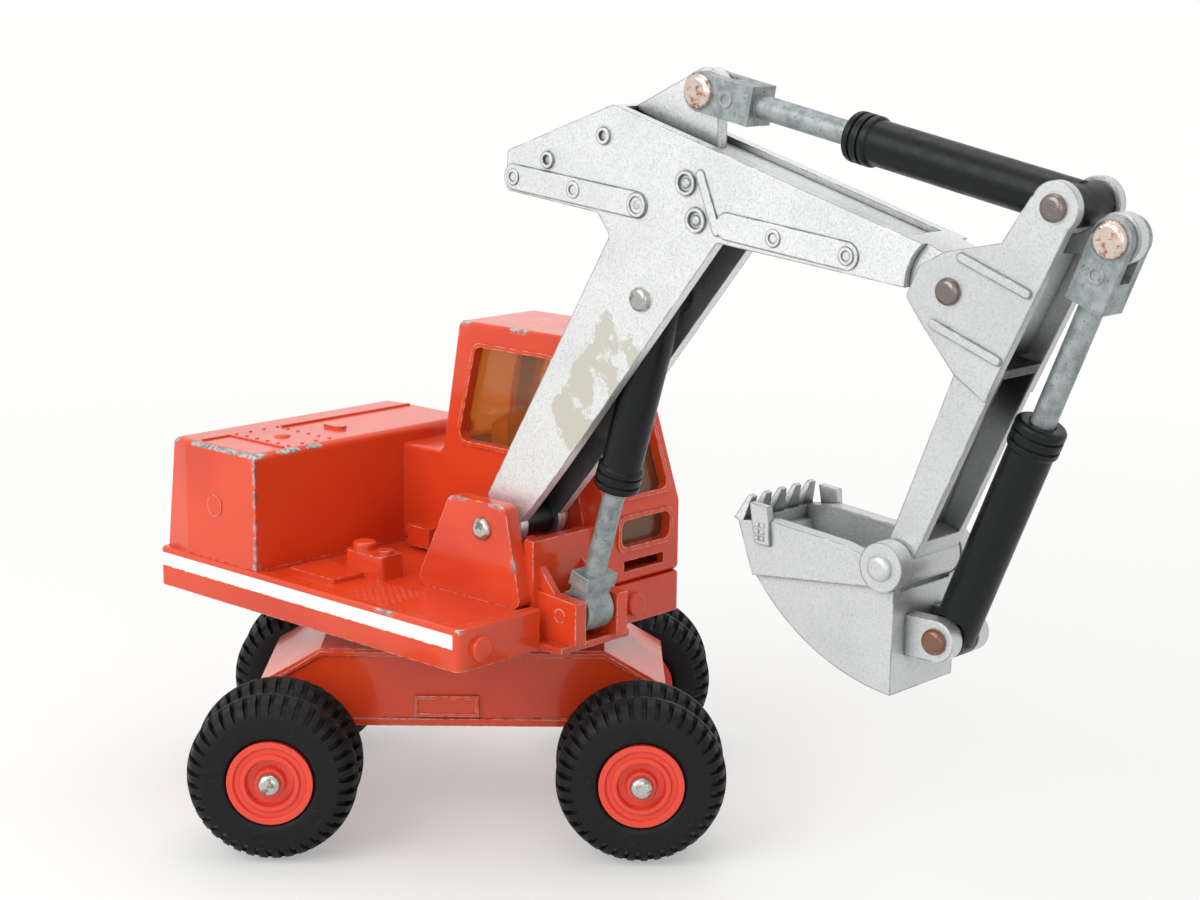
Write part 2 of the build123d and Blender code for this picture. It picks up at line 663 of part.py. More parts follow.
# Cab shell with rounded edges, cut windows and raised frames round them
with BuildPart() as cab:
    with BuildSketch(arm.offset(-CAB_LEFT)) as cab_side:
        Polygon(*cab_outline, align=None)
        fillet(cab_side.vertices().group_by(Axis.Z)[-1], CAB_ROUND)
    extrude(amount=CAB_W)
    fillet(cab.faces().filter_by(across).edges().filter_by_position(
        Axis.Z, TRAY_TOP_Z + CAB_BACK_H, TRAY_TOP_Z + CAB_ROOF_H, inclusive=(False, True)), CAB_ROUND / 2)
    with BuildSketch(arm.offset(-CAB_RIGHT)) as window_frame:
        Polygon(*side_window, align=None)
        fillet(window_frame.vertices(), WINDOW_R)
        offset(amount=FRAME_W)
    extrude(amount=FRAME_T)
    with BuildSketch(arm.offset(-CAB_LEFT)) as far_frame:
        Polygon(*side_window, align=None)
        fillet(far_frame.vertices(), WINDOW_R)
        offset(amount=FRAME_W)
    extrude(amount=-FRAME_T)
    with BuildSketch(front_wall):
        with Locations((0, LOW_PANE_UP)):
            RectangleRounded(CAB_W - 2 * (LOW_PANE_POST - FRAME_W), LOW_PANE_H + 2 * FRAME_W, WINDOW_R)
    extrude(amount=FRAME_T)
    with BuildSketch(screen):
        with Locations((0, SCREEN_L / 2)):
            RectangleRounded(
                CAB_W - 2 * (SCREEN_POST - FRAME_W), SCREEN_L - 2 * (SCREEN_POST - FRAME_W), WINDOW_R
            )
    extrude(amount=FRAME_T)
    with BuildSketch(arm.offset(-CAB_LEFT + CAB_SKIN)):
        Polygon(*cab_outline, align=None)
        offset(amount=-CAB_SKIN)
        with Locations((0, TRAY_TOP_Z)):
            Rectangle(2 * (CAB_FRONT - CAB_SKIN), 2 * CAB_SKIN, align=(Align.CENTER, Align.MIN))
    extrude(amount=CAB_W - 2 * CAB_SKIN, mode=Mode.SUBTRACT)
    with BuildSketch(arm) as window_cut:
        Polygon(*side_window, align=None)
        fillet(window_cut.vertices(), WINDOW_R)
    extrude(amount=-2 * CAB_LEFT, mode=Mode.SUBTRACT)
    with BuildSketch(front_wall.offset(FRAME_T)):
        with Locations((0, LOW_PANE_UP)):
            RectangleRounded(CAB_W - 2 * LOW_PANE_POST, LOW_PANE_H, WINDOW_R)
        with Locations((0, GRILLE_UP)):
            Rectangle(CAB_W - 2 * GRILLE_POST, GRILLE_H)
    extrude(amount=-CAB_SKIN - FRAME_T, mode=Mode.SUBTRACT)
    with BuildSketch(screen.offset(FRAME_T)):
        with Locations((0, SCREEN_L / 2)):
            RectangleRounded(CAB_W - 2 * SCREEN_POST, SCREEN_L - 2 * SCREEN_POST, WINDOW_R)
    extrude(amount=-2 * CAB_SKIN - FRAME_T, mode=Mode.SUBTRACT)
    with BuildSketch(rear_wall):
        with Locations((0, REAR_L / 2)):
            RectangleRounded(CAB_W - 2 * SCREEN_POST, REAR_L - 2 * SCREEN_POST, WINDOW_R)
    extrude(amount=-2 * CAB_SKIN, mode=Mode.SUBTRACT)

# House casting: housing and cab joined by the boom bracket, its front wall and the lugs
bracket_outline = [
    (BRACKET_FOOT, DECK_Z),
    (FRONT_WALL_U + FRONT_WALL_T, DECK_Z),
    near(BOOM_PIN, BRACKET_FORE, BRACKET_UP),
    near(BOOM_PIN, -BRACKET_BACK, BRACKET_UP),
]
with BuildPart() as body:
    add(housing.part)
    add(cab.part)
    with BuildSketch(house.offset(TRAY_TOP_Z)):
        with Locations((-HOUSING_FRONT + STEP_BACK, CAB_RIGHT)):
            Rectangle(STEP_L, STEP_W, align=(Align.MIN, Align.MAX))
    extrude(amount=STEP_H)
    with BuildSketch(arm.offset(BRACKET_IN)) as bracket_near:
        Polygon(*bracket_outline, align=None)
        fillet(bracket_near.vertices().group_by(Axis.Z)[-1], BRACKET_ROUND)
    extrude(amount=BRACKET_T)
    with BuildSketch(arm.offset(-CAB_RIGHT)) as bracket_far:
        Polygon(*bracket_outline, align=None)
        fillet(bracket_far.vertices().group_by(Axis.Z)[-1], BRACKET_ROUND)
    extrude(amount=CAB_RIGHT - BRACKET_IN)
    with BuildSketch(house.offset(DECK_Z)):
        with Locations((FRONT_WALL_U, -BRACKET_IN)):
            Rectangle(FRONT_WALL_T, BRACKET_IN + CAB_RIGHT, align=(Align.MIN, Align.MIN))
    extrude(amount=FRONT_WALL_H)
    for hand in (-1, 1):
        with BuildSketch(arm.offset(hand * (EAR_OUT + EAR_IN) / 2)) as ear_side:
            Polygon(
                (FRONT_WALL_U, TRAY_Z + SHELF_T),
                (LUG_PIN[0] + EAR_NOSE, TRAY_Z + SHELF_T),
                near(LUG_PIN, EAR_NOSE, EAR_TOP),
                (FRONT_WALL_U, LUG_PIN[1] + EAR_TOP + EAR_RISE),
                align=None,
            )
            fillet(ear_side.vertices().sort_by_distance(arm.from_local_coords((*near(LUG_PIN, EAR_NOSE, EAR_TOP), 0)))[0:1],
                   EAR_ROUND)
        extrude(amount=(EAR_OUT - EAR_IN) / 2, both=True)
        with BuildSketch(arm.offset(hand * (EAR_OUT + EAR_IN) / 2)):
            Polygon(
                (FRONT_WALL_U, LUG_PIN[1] + EAR_TOP),
                (FRONT_WALL_U + FRONT_WALL_T + GUSSET_L, LUG_PIN[1] + EAR_TOP),
                (FRONT_WALL_U + FRONT_WALL_T, LUG_PIN[1] + EAR_TOP + EAR_RISE + GUSSET_H),
                (FRONT_WALL_U, LUG_PIN[1] + EAR_TOP + EAR_RISE + GUSSET_H),
                align=None,
            )
        extrude(amount=GUSSET_T / 2, both=True)
    with BuildSketch(house.offset(TRAY_Z + SHELF_T)):
        with Locations((FRONT_WALL_U, 0)):
            Rectangle(FRONT_WALL_T, 2 * NOTCH_HALF, align=(Align.MIN, Align.CENTER))
    extrude(amount=DECK_Z - TRAY_Z - SHELF_T)
    with BuildSketch(arm):
        with Locations(BOOM_PIN, LUG_PIN):
            Circle(PIN_R)
    extrude(amount=CAB_RIGHT, both=True, mode=Mode.SUBTRACT)
    with BuildSketch(arm.offset(BRACKET_IN)):
        with Locations(BOOM_PIN):
            Circle(PIN_R)
    extrude(amount=BRACKET_T, mode=Mode.SUBTRACT)
pieces["house_body"] = body

# Tinted glazing, a hood seated against the inside of the cab
with BuildPart() as glazing:
    with BuildSketch(arm.offset(-CAB_LEFT + CAB_SKIN)):
        Polygon(*cab_outline, align=None)
        offset(amount=-CAB_SKIN)
        with Locations((-CAB_REAR, TRAY_TOP_Z)):
            Rectangle(CAB_REAR - CAB_BACK_LOW + CAB_SKIN, CAB_ROOF_H, align=(Align.MIN, Align.MIN),
                      mode=Mode.SUBTRACT)
    extrude(amount=CAB_W - 2 * CAB_SKIN)
    with BuildSketch(arm.offset(-CAB_LEFT + CAB_SKIN + PANE_T)):
        Polygon(*cab_outline, align=None)
        offset(amount=-CAB_SKIN - PANE_T)
        with Locations((0, TRAY_TOP_Z)):
            Rectangle(2 * CAB_REAR, 2 * (CAB_SKIN + PANE_T), align=(Align.CENTER, Align.MIN))
        with Locations((-CAB_REAR, TRAY_TOP_Z)):
            Rectangle(CAB_REAR - CAB_BACK_LOW + CAB_SKIN + PANE_T, CAB_ROOF_H,
                      align=(Align.MIN, Align.MIN), mode=Mode.SUBTRACT)
    extrude(amount=CAB_W - 2 * CAB_SKIN - 2 * PANE_T, mode=Mode.SUBTRACT)
pieces["cab_glazing"] = glazing

# Boom, two walls joined along the back and the top, open below, with a tongue at its nose
boom_outline = [
    corner(BOOM_PIN, BOOM_HEEL),
    corner(BOOM_PIN, BOOM_ELBOW),
    corner(BOOM_PIN, BOOM_NOTCH),
    corner(BOOM_PIN, BOOM_TAIL_LOW),
    corner(BOOM_PIN, BOOM_TAIL_TOP),
    corner(BOOM_PIN, BOOM_PEAK),
    corner(STICK_PIN, NOSE_TOP),
    near(STICK_PIN, NOSE_R / 3, NOSE_R),
    near(STICK_PIN, 0, -NOSE_R),
    corner(STICK_PIN, NOSE_UNDER),
    corner(BOOM_PIN, BOOM_THROAT),
    corner(BOOM_PIN, BOOM_SHIN),
    corner(BOOM_PIN, BOOM_TOE),
]
rings = [(place, RING_R) for place in SMALL_RINGS] + [(place, BIG_RING_R) for place in BIG_RINGS]
shin = corner(BOOM_PIN, BOOM_SHIN)
throat = corner(BOOM_PIN, BOOM_THROAT)
boom_mouth = [
    near(BOOM_PIN, BOOM_MOUTH / 2, 2 * BOOM_MOUTH),
    near(shin, -BOOM_MOUTH, BOOM_MOUTH),
    near(throat, -BOOM_MOUTH, BOOM_MOUTH),
    near(STICK_PIN, -2 * NOSE_CLEAR_R, NOSE_R),
    near(STICK_PIN, -2 * NOSE_CLEAR_R, -NOSE_R),
    near(throat, BOOM_MOUTH, -BOOM_MOUTH),
    near(shin, BOOM_MOUTH, -BOOM_MOUTH),
    near(BOOM_PIN, BOOM_MOUTH, -2 * BOOM_MOUTH),
    near(BOOM_PIN, -BOOM_MOUTH, -2 * BOOM_MOUTH),
    near(BOOM_PIN, -BOOM_MOUTH / 2, 0),
]
groove_start = between(corner(BOOM_PIN, BOOM_PEAK), corner(STICK_PIN, NOSE_TOP), 0.02)
groove_end = between(corner(BOOM_PIN, BOOM_PEAK), corner(STICK_PIN, NOSE_TOP), 0.95)
groove_floor = aside(groove_start, groove_end, -BOOM_SINK)
groove_roof = aside(groove_start, groove_end, BOOM_SINK)
with BuildPart() as boom:
    with BuildSketch(arm) as boom_side:
        Polygon(*boom_outline, align=None)
        fillet(boom_side.vertices(), BOOM_ROUND)
        with Locations(BOOM_PIN):
            Circle(BOOM_FOOT_R)
        with Locations(STICK_PIN):
            Circle(NOSE_R)
    extrude(amount=BOOM_W / 2, both=True)
    with BuildSketch(arm):
        Polygon(*boom_outline, align=None)
        offset(amount=-BOOM_WEB - BOOM_SINK)
        Polygon(*boom_mouth, align=None)
        with Locations(STICK_PIN):
            Circle(NOSE_CLEAR_R, mode=Mode.SUBTRACT)
        with Locations(BOOM_PIN):
            Circle(BOOM_BUSH_R, mode=Mode.SUBTRACT)
    extrude(amount=BOOM_W / 2 - BOOM_WALL, both=True, mode=Mode.SUBTRACT)
    with BuildSketch(arm):
        Polygon(
            corner(groove_start, groove_floor),
            corner(groove_end, groove_floor),
            corner(groove_end, groove_roof),
            corner(groove_start, groove_roof),
            align=None,
        )
    extrude(amount=BOOM_W / 2 - BOOM_RIM, both=True, mode=Mode.SUBTRACT)
    for side in (1, -1):
        with BuildSketch(arm.offset(side * BOOM_W / 2)):
            for strap, width in ((TAIL_STRAP, STRAP_W), (NECK_STRAP, STRAP_W), (CROSS_STRAP, CROSS_W)):
                strap_end = corner(BOOM_PIN, strap[1])
                SlotCenterPoint(between(corner(BOOM_PIN, strap[0]), strap_end, 0.5), strap_end, width)
        extrude(amount=side * STRAP_T)
        with BuildSketch(arm.offset(side * BOOM_W / 2)):
            for ring_at, ring_r in rings:
                with Locations(corner(BOOM_PIN, ring_at)):
                    Circle(ring_r)
                    Circle(ring_r - RING_W, mode=Mode.SUBTRACT)
        extrude(amount=side * RING_T)
        with BuildSketch(arm.offset(side * BOOM_W / 2)):
            with Locations(BOOM_PIN):
                Circle(BOOM_BUSH_R)
        extrude(amount=side * (BRACKET_IN - SIDE_GAP - BOOM_W / 2))
        with BuildSketch(arm.offset(side * TONGUE_W / 2)):
            with Locations(STICK_PIN):
                Circle(NOSE_CLEAR_R)
        extrude(amount=side * BOOM_W, mode=Mode.SUBTRACT)
    with BuildSketch(arm):
        Polygon(
            corner(CLEVIS_PIN, BOOM_EAR_ROOT),
            corner(CLEVIS_PIN, BOOM_EAR_TOP),
            near(CLEVIS_PIN, BOOM_EAR_FRONT, 0),
            near(CLEVIS_PIN, BOOM_EAR_FRONT, -BOOM_EAR_DROP),
            align=None,
        )
        with Locations(CLEVIS_PIN):
            Circle(BOOM_EAR_R)
    extrude(amount=BOOM_EAR_T / 2, both=True)
    with BuildSketch(arm):
        with Locations(BOOM_PIN, STICK_PIN):
            Circle(PIN_R + RUN)
        with Locations(BOOM_RAM_PIN):
            Circle(PIN_R)
        with Locations(CLEVIS_PIN):
            Circle(PLAY_R)
    extrude(amount=BOOM_W, both=True, mode=Mode.SUBTRACT)
pieces["boom"] = boom

# Stick, two cheeks round the tongue, a sunken front web and a leg open to the front
edge_top = near(STICK_RAM_PIN, STICK_EAR_R, 0)
edge_low = corner(STICK_PIN, STICK_FRONT_LOW)
web_top = between(edge_top, edge_low, STICK_WEB_TOP)
web_low = corner(STICK_PIN, LEG_TOP_FRONT)
web_front = aside(web_top, web_low, -STICK_SINK)
web_back = aside(web_top, web_low, -STICK_SINK - STICK_WEB)
leg_back_top = corner(STICK_PIN, LEG_TOP_BACK)
leg_back_low = near(BUCKET_PIN, -LEG_BACK, 0)
slot_back = aside(leg_back_top, leg_back_low, STICK_WEB)
slot_low = between(leg_back_low, leg_back_top, LEG_SLOT_FROM)
slot_high = between(leg_back_low, leg_back_top, LEG_SLOT_TO)
with BuildPart() as stick:
    for side in (1, -1):
        with BuildSketch(arm.offset(side * STICK_IN)) as cheek:
            Polygon(
                corner(STICK_PIN, STICK_CHIN),
                corner(STICK_PIN, STICK_CHEEK),
                corner(STICK_PIN, STICK_BROW),
                corner(STICK_PIN, STICK_SADDLE),
                near(STICK_RAM_PIN, -STICK_EAR_R, STICK_EAR_R / 3),
                near(STICK_RAM_PIN, 0, STICK_EAR_R),
                edge_top,
                edge_low,
                corner(STICK_PIN, STICK_JAW),
                corner(STICK_PIN, STICK_THROAT),
                align=None,
            )
            fillet(cheek.vertices().sort_by(forward)[:4], STICK_ROUND)
            with Locations(STICK_RAM_PIN):
                Circle(STICK_EAR_R)
        extrude(amount=side * STICK_T)
        with BuildSketch(arm.offset(side * STICK_OUT)):
            for rib in (UPPER_RIB, LOWER_RIB):
                rib_end = corner(STICK_PIN, rib[1])
                SlotCenterPoint(between(corner(STICK_PIN, rib[0]), rib_end, 0.5), rib_end, RIB_W)
        extrude(amount=side * RIB_T)
    with BuildSketch(arm):
        Polygon(
            leg_back_low,
            near(BUCKET_PIN, LEG_FRONT, 0),
            edge_low,
            web_low,
            leg_back_top,
            align=None,
        )
    extrude(amount=LEG_W / 2, both=True)
    with BuildSketch(arm):
        Polygon(
            corner(slot_low, slot_back),
            corner(slot_high, slot_back),
            corner(slot_high, aside(leg_back_top, leg_back_low, LEG_W)),
            corner(slot_low, aside(leg_back_top, leg_back_low, LEG_W)),
            align=None,
        )
    extrude(amount=LEG_W / 2 - STICK_T, both=True, mode=Mode.SUBTRACT)
    with BuildSketch(arm):
        Polygon(
            corner(web_top, web_front),
            corner(web_low, web_front),
            corner(web_low, web_back),
            corner(web_top, web_back),
            align=None,
        )
    extrude(amount=STICK_IN, both=True)
    with BuildSketch(arm):
        with Locations(BUCKET_PIN):
            Circle(LEG_END_R)
    extrude(amount=LEG_END_OUT, both=True)
    with BuildSketch(arm):
        Polygon(
            corner(TIP_PIN, TIP_ROOT_LOW),
            corner(TIP_PIN, TIP_ROOT_TOP),
            corner(TIP_PIN, TIP_NECK_TOP),
            corner(TIP_PIN, TIP_NECK_LOW),
            align=None,
        )
        with Locations(TIP_PIN):
            Circle(TIP_EAR_R)
    extrude(amount=TIP_EAR_T / 2, both=True)
    with BuildSketch(arm):
        with Locations(STICK_PIN, STICK_RAM_PIN):
            Circle(PIN_R)
        with Locations(BUCKET_PIN):
            Circle(PIN_R + RUN)
        with Locations(TIP_PIN):
            Circle(PLAY_R)
    extrude(amount=2 * STICK_OUT, both=True, mode=Mode.SUBTRACT)
pieces["stick"] = stick

# Bucket, a round belly between cheeks with a raised bar, bosses, lugs, teeth and cutters
lip = corner(BUCKET_PIN, BUCKET_LIP)
heel = corner(BUCKET_PIN, BUCKET_HEEL)
back = corner(BUCKET_PIN, BUCKET_BACK)
ridge = corner(BUCKET_PIN, BUCKET_RIDGE)
brow = corner(BUCKET_PIN, BUCKET_CORNER)
tooth_tip = corner(BUCKET_PIN, TOOTH_TIP)
lip_plane = ram_plane(lip, tooth_tip)
tooth_l = ram_length(lip, tooth_tip)
back_top = near(BUCKET_PIN, BUCKET_BACK[0], 0)
bar_low = near(BUCKET_PIN, BUCKET_BACK[0], -BUCKET_BAR_LOW)
with BuildPart() as bucket:
    with BuildSketch(arm) as belly_side:
        with BuildLine():
            ThreePointArc(heel, corner(BUCKET_PIN, BUCKET_BELLY), back)
            Polyline(back, back_top, ridge, brow, lip, heel)
        make_face()
        fillet(belly_side.vertices().sort_by(Axis.Z)[0], BUCKET_ROUND)
    extrude(amount=BUCKET_SIDE, both=True)
    for side in (1, -1):
        with BuildSketch(arm.offset(side * BUCKET_SIDE)):
            Polygon(heel, bar_low, back_top, ridge, brow, lip, align=None)
        extrude(amount=side * (BUCKET_OUT - BUCKET_SIDE))
        with BuildSketch(arm.offset(side * BUCKET_IN)):
            with Locations(BUCKET_PIN):
                Circle(BUCKET_BOSS_R)
        extrude(amount=side * (BUCKET_OUT + BUCKET_BOSS_T - BUCKET_IN))
        with BuildSketch(arm.offset(side * BUCKET_SIDE)):
            Polygon(*[corner(BUCKET_PIN, point) for point in CUTTER_TOP + CUTTER_FOOT], align=None)
        extrude(amount=side * (BUCKET_OUT + CUTTER_T - BUCKET_SIDE))
        with BuildSketch(arm.offset(side * (LUG_OUT - LUG_T))):
            with Locations(between(BUCKET_RAM_PIN, (back[0], BUCKET_RAM_PIN[1]), 0.5)):
                Rectangle(BUCKET_RAM_PIN[0] - back[0], 2 * LUG_R)
            with Locations(BUCKET_RAM_PIN):
                Circle(LUG_R)
        extrude(amount=side * LUG_T)
    with BuildSketch(arm):
        with BuildLine():
            ThreePointArc(heel, corner(BUCKET_PIN, BUCKET_BELLY), back)
            Polyline(back, back_top, ridge, brow, lip, heel)
        make_face()
        offset(amount=-BUCKET_WALL)
        Polygon(
            near(lip, BUCKET_WALL, -BUCKET_WALL),
            near(lip, BUCKET_WALL, BUCKET_MOUTH),
            near(back_top, BUCKET_WALL, BUCKET_MOUTH),
            near(back_top, BUCKET_WALL, -BUCKET_BAR_LOW),
            near(back_top, -BUCKET_WALL, -BUCKET_BAR_LOW - BUCKET_WALL),
            align=None,
        )
    extrude(amount=BUCKET_IN, both=True, mode=Mode.SUBTRACT)
    for count in range(TOOTH_COUNT):
        tooth_at = (2 * BUCKET_OUT - TOOTH_W) * (count / (TOOTH_COUNT - 1) - 0.5)
        with BuildSketch(lip_plane):
            with Locations((tooth_at, 0)):
                Rectangle(TOOTH_W, BUCKET_WALL)
        with BuildSketch(lip_plane.offset(tooth_l)):
            with Locations((tooth_at, 0)):
                Rectangle(TOOTH_TIP_W, TOOTH_TIP_T)
        loft()
    with BuildSketch(arm):
        with Locations(BUCKET_PIN, BUCKET_RAM_PIN):
            Circle(PIN_R)
    extrude(amount=2 * BUCKET_OUT, both=True, mode=Mode.SUBTRACT)
pieces["bucket"] = bucket

# Rams, a barrel with a grooved collar and a rod ending in an eye or a clevis
for name, rod_pin, barrel_pin, barrel_l, rod_in, eye in (
    ("boom", LUG_PIN, BOOM_RAM_PIN, BOOM_BARREL_L, BOOM_ROD_IN, BOOM_EYE),
    ("stick", CLEVIS_PIN, STICK_RAM_PIN, STICK_BARREL_L, STICK_ROD_IN, STICK_EYE),
    ("bucket", TIP_PIN, BUCKET_RAM_PIN, BUCKET_BARREL_L, BUCKET_ROD_IN, BUCKET_EYE),
):
    reach = ram_length(rod_pin, barrel_pin)
    down = ram_plane(barrel_pin, rod_pin)
    up = ram_plane(rod_pin, barrel_pin)
    with BuildPart() as barrel:
        with BuildSketch(down.offset(barrel_l - RAM_COLLAR_L)):
            Circle(RAM_R + COLLAR_STEP)
        extrude(amount=RAM_COLLAR_L)
        fillet(barrel.edges(), COLLAR_ROUND)
        for share in (1 / 3, 2 / 3):
            with BuildSketch(down.offset(barrel_l - share * RAM_COLLAR_L - COLLAR_GROOVE / 2)):
                Circle(RAM_R + 2 * COLLAR_STEP)
                Circle(RAM_R, mode=Mode.SUBTRACT)
            extrude(amount=COLLAR_GROOVE, mode=Mode.SUBTRACT)
        with BuildSketch(down):
            Circle(RAM_R)
        extrude(amount=barrel_l - COLLAR_ROUND)
        with BuildSketch(arm):
            with Locations(barrel_pin):
                Circle(RAM_EYE_R)
        extrude(amount=eye, both=True)
        with BuildSketch(down.offset(-RAM_EYE_R)):
            with Locations((eye + RAM_R, 0), (-eye - RAM_R, 0)):
                Rectangle(2 * RAM_R, 2 * RAM_R)
        extrude(amount=RAM_EYE_R + LUG_R + 2 * SIDE_GAP, mode=Mode.SUBTRACT)
        with BuildSketch(down.offset(BORE_END)):
            Circle(ROD_R + SLIDE)
        extrude(amount=barrel_l, mode=Mode.SUBTRACT)
        with BuildSketch(arm):
            with Locations(barrel_pin):
                Circle(PIN_R + RUN)
        extrude(amount=2 * RAM_R, both=True, mode=Mode.SUBTRACT)
    pieces[name + "_barrel"] = barrel
    with BuildPart() as rod:
        with BuildSketch(up):
            Circle(ROD_R)
        extrude(amount=reach - rod_in)
        if name == "boom":
            with BuildSketch(up.offset(ROD_END_L - ROD_BAR_L)):
                Rectangle(ROD_BAR_W, ROD_END_T + COLLAR_STEP)
            extrude(amount=ROD_BAR_L)
            with BuildSketch(up):
                Rectangle(ROD_END_W, ROD_END_T)
            extrude(amount=ROD_END_L - ROD_BAR_L)
            with BuildSketch(arm):
                with Locations(rod_pin):
                    Circle(ROD_END_R)
            extrude(amount=ROD_END_W / 2, both=True)
            with BuildSketch(arm):
                with Locations(rod_pin):
                    Circle(PLAY_R)
            extrude(amount=ROD_END_W, both=True, mode=Mode.SUBTRACT)
        else:
            clevis_end = between(rod_pin, barrel_pin, CLEVIS_L / reach)
            clevis_top = aside(rod_pin, barrel_pin, CLEVIS_H / 2)
            clevis_low = aside(rod_pin, barrel_pin, -CLEVIS_H / 2)
            with BuildSketch(arm):
                Polygon(
                    corner(rod_pin, clevis_low),
                    corner(clevis_end, clevis_low),
                    corner(clevis_end, clevis_top),
                    corner(rod_pin, clevis_top),
                    align=None,
                )
                with Locations(rod_pin):
                    Circle(CLEVIS_NOSE)
            extrude(amount=CLEVIS_W / 2, both=True)
            with BuildSketch(arm):
                with Locations(between(rod_pin, barrel_pin, CLEVIS_RING_AT / reach)):
                    Circle(RING_R)
                    Circle(RING_R - RING_W, mode=Mode.SUBTRACT)
            extrude(amount=CLEVIS_W / 2 + STRAP_T, both=True)
            with BuildSketch(up.offset(-2 * CLEVIS_NOSE)):
                Rectangle(CLEVIS_GAP, 2 * CLEVIS_H)
            extrude(amount=2 * CLEVIS_NOSE + BOOM_EAR_R + PLAY + SIDE_GAP, mode=Mode.SUBTRACT)
            with BuildSketch(arm):
                with Locations(rod_pin):
                    Circle(PIN_R)
            extrude(amount=CLEVIS_W, both=True, mode=Mode.SUBTRACT)
    pieces[name + "_rod"] = rod

# Rivets through the arm and the rams, round headed on both sides
for name, centre, half, head in (
    ("boom_ram_pin", BOOM_RAM_PIN, BOOM_W / 2, RIVET_HEAD_R),
    ("stick_pin", STICK_PIN, STICK_OUT, RIVET_HEAD_R),
    ("stick_ram_pin", STICK_RAM_PIN, STICK_OUT, RIVET_HEAD_R),
    ("stick_rod_pin", CLEVIS_PIN, CLEVIS_W / 2, BIG_HEAD_R),
    ("bucket_rod_pin", TIP_PIN, CLEVIS_W / 2, BIG_HEAD_R),
    ("bucket_pin", BUCKET_PIN, BUCKET_OUT + BUCKET_BOSS_T, RIVET_HEAD_R),
    ("bucket_ram_pin", BUCKET_RAM_PIN, LUG_OUT, RIVET_HEAD_R),
):
    with BuildPart() as rivet:
        with BuildSketch(arm):
            with Locations(centre):
                Circle(PIN_R)
        extrude(amount=half, both=True)
        for side in (1, -1):
            with BuildSketch(arm.offset(side * half)):
                with Locations(centre):
                    Circle(head)
            extrude(amount=side * RIVET_HEAD)
        ends = rivet.faces().sort_by(across)
        fillet([*ends[0].edges(), *ends[-1].edges()], RIVET_HEAD * RIVET_DOME)
    pieces[name] = rivet

# Boom pin, headed outside the bracket and blind in the cab wall
with BuildPart() as boom_pin:
    with BuildSketch(arm.offset(-CAB_RIGHT)):
        with Locations(BOOM_PIN):
            Circle(PIN_R)
    extrude(amount=CAB_RIGHT + BRACKET_OUT)
    with BuildSketch(arm.offset(BRACKET_OUT)):
        with Locations(BOOM_PIN):
            Circle(RIVET_HEAD_R)
    extrude(amount=RIVET_HEAD)
    fillet(boom_pin.faces().sort_by(across)[-1].edges(), RIVET_HEAD * RIVET_DOME)
pieces["boom_pin"] = boom_pin

# Plain pin between the lugs
with BuildPart() as lug_pin:
    with BuildSketch(arm):
        with Locations(LUG_PIN):
            Circle(PIN_R)
    extrude(amount=EAR_OUT, both=True)
pieces["lug_pin"] = lug_pin

for name, piece in pieces.items():
    piece.part.label = name
    export_step(piece.part, "parts/" + name + ".step")
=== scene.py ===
import json
import math
import random

import bpy
from mathutils import Matrix, Vector


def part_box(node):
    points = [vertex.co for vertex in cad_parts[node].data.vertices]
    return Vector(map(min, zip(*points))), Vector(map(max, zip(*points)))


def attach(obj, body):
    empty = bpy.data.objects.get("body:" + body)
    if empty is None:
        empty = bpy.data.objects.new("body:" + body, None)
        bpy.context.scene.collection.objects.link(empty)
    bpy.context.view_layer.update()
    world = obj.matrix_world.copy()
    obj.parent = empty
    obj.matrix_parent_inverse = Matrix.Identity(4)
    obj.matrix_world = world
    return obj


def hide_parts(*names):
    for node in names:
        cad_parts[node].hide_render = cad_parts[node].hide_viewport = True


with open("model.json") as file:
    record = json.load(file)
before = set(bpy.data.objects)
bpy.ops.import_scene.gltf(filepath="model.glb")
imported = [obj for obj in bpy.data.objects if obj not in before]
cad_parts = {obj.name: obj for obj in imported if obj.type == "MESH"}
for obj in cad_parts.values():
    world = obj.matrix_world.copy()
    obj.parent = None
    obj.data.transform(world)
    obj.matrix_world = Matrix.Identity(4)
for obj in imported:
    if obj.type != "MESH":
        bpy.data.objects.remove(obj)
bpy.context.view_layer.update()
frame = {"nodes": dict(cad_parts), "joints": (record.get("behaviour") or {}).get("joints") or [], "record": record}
random.seed(7)

MM = 0.001
UP = Vector((0, 0, 1))
CORNERS = ("right_rear", "right_front", "left_rear", "left_front")

# Camera, measured from the foot of the slew axis
CAMERA_FROM_SLEW = (13.98 * MM, -275.3 * MM, 102.36 * MM)
CAMERA_YAW = -0.009
CAMERA_PITCH = -0.207
CAMERA_ROLL = 0.012
CAMERA_LENS = 68.43
CAMERA_SENSOR = 36
CAMERA_CLIP = 0.01

# Lamps: place, size and power, all aimed at one point
LAMP_AIM = (0.0, 0.0, 0.04)
LAMPS = {
    "key": ((-0.36, -0.30, 0.34), 0.5, 1.8),
    "top": ((0.10, 0.15, 0.80), 0.6, 1.4),
    "fill": ((0.10, -0.62, 0.16), 0.5, 0.7),
}

# Floor: its glow rises from the least beside the toy to full further out
FLOOR_SPREAD = 6.0
FLOOR_WHITE = (0.74, 0.74, 0.735)
STUDIO_WHITE = (1.0, 1.0, 0.99)
GLOW_FROM = 0.07
GLOW_FULL = 0.36
GLOW_LEAST = 0.36

# Studio: brightest overhead and behind, dim towards the camera
STUDIO_TOWARD = (-0.25, 0.50, 0.80)
STUDIO_SPAN = (-0.45, 0.65)
STUDIO_LEVELS = (0.30, 1.0)

# Heading of the house and its arm at rest
HOUSE_TURN = math.radians(-43.0)

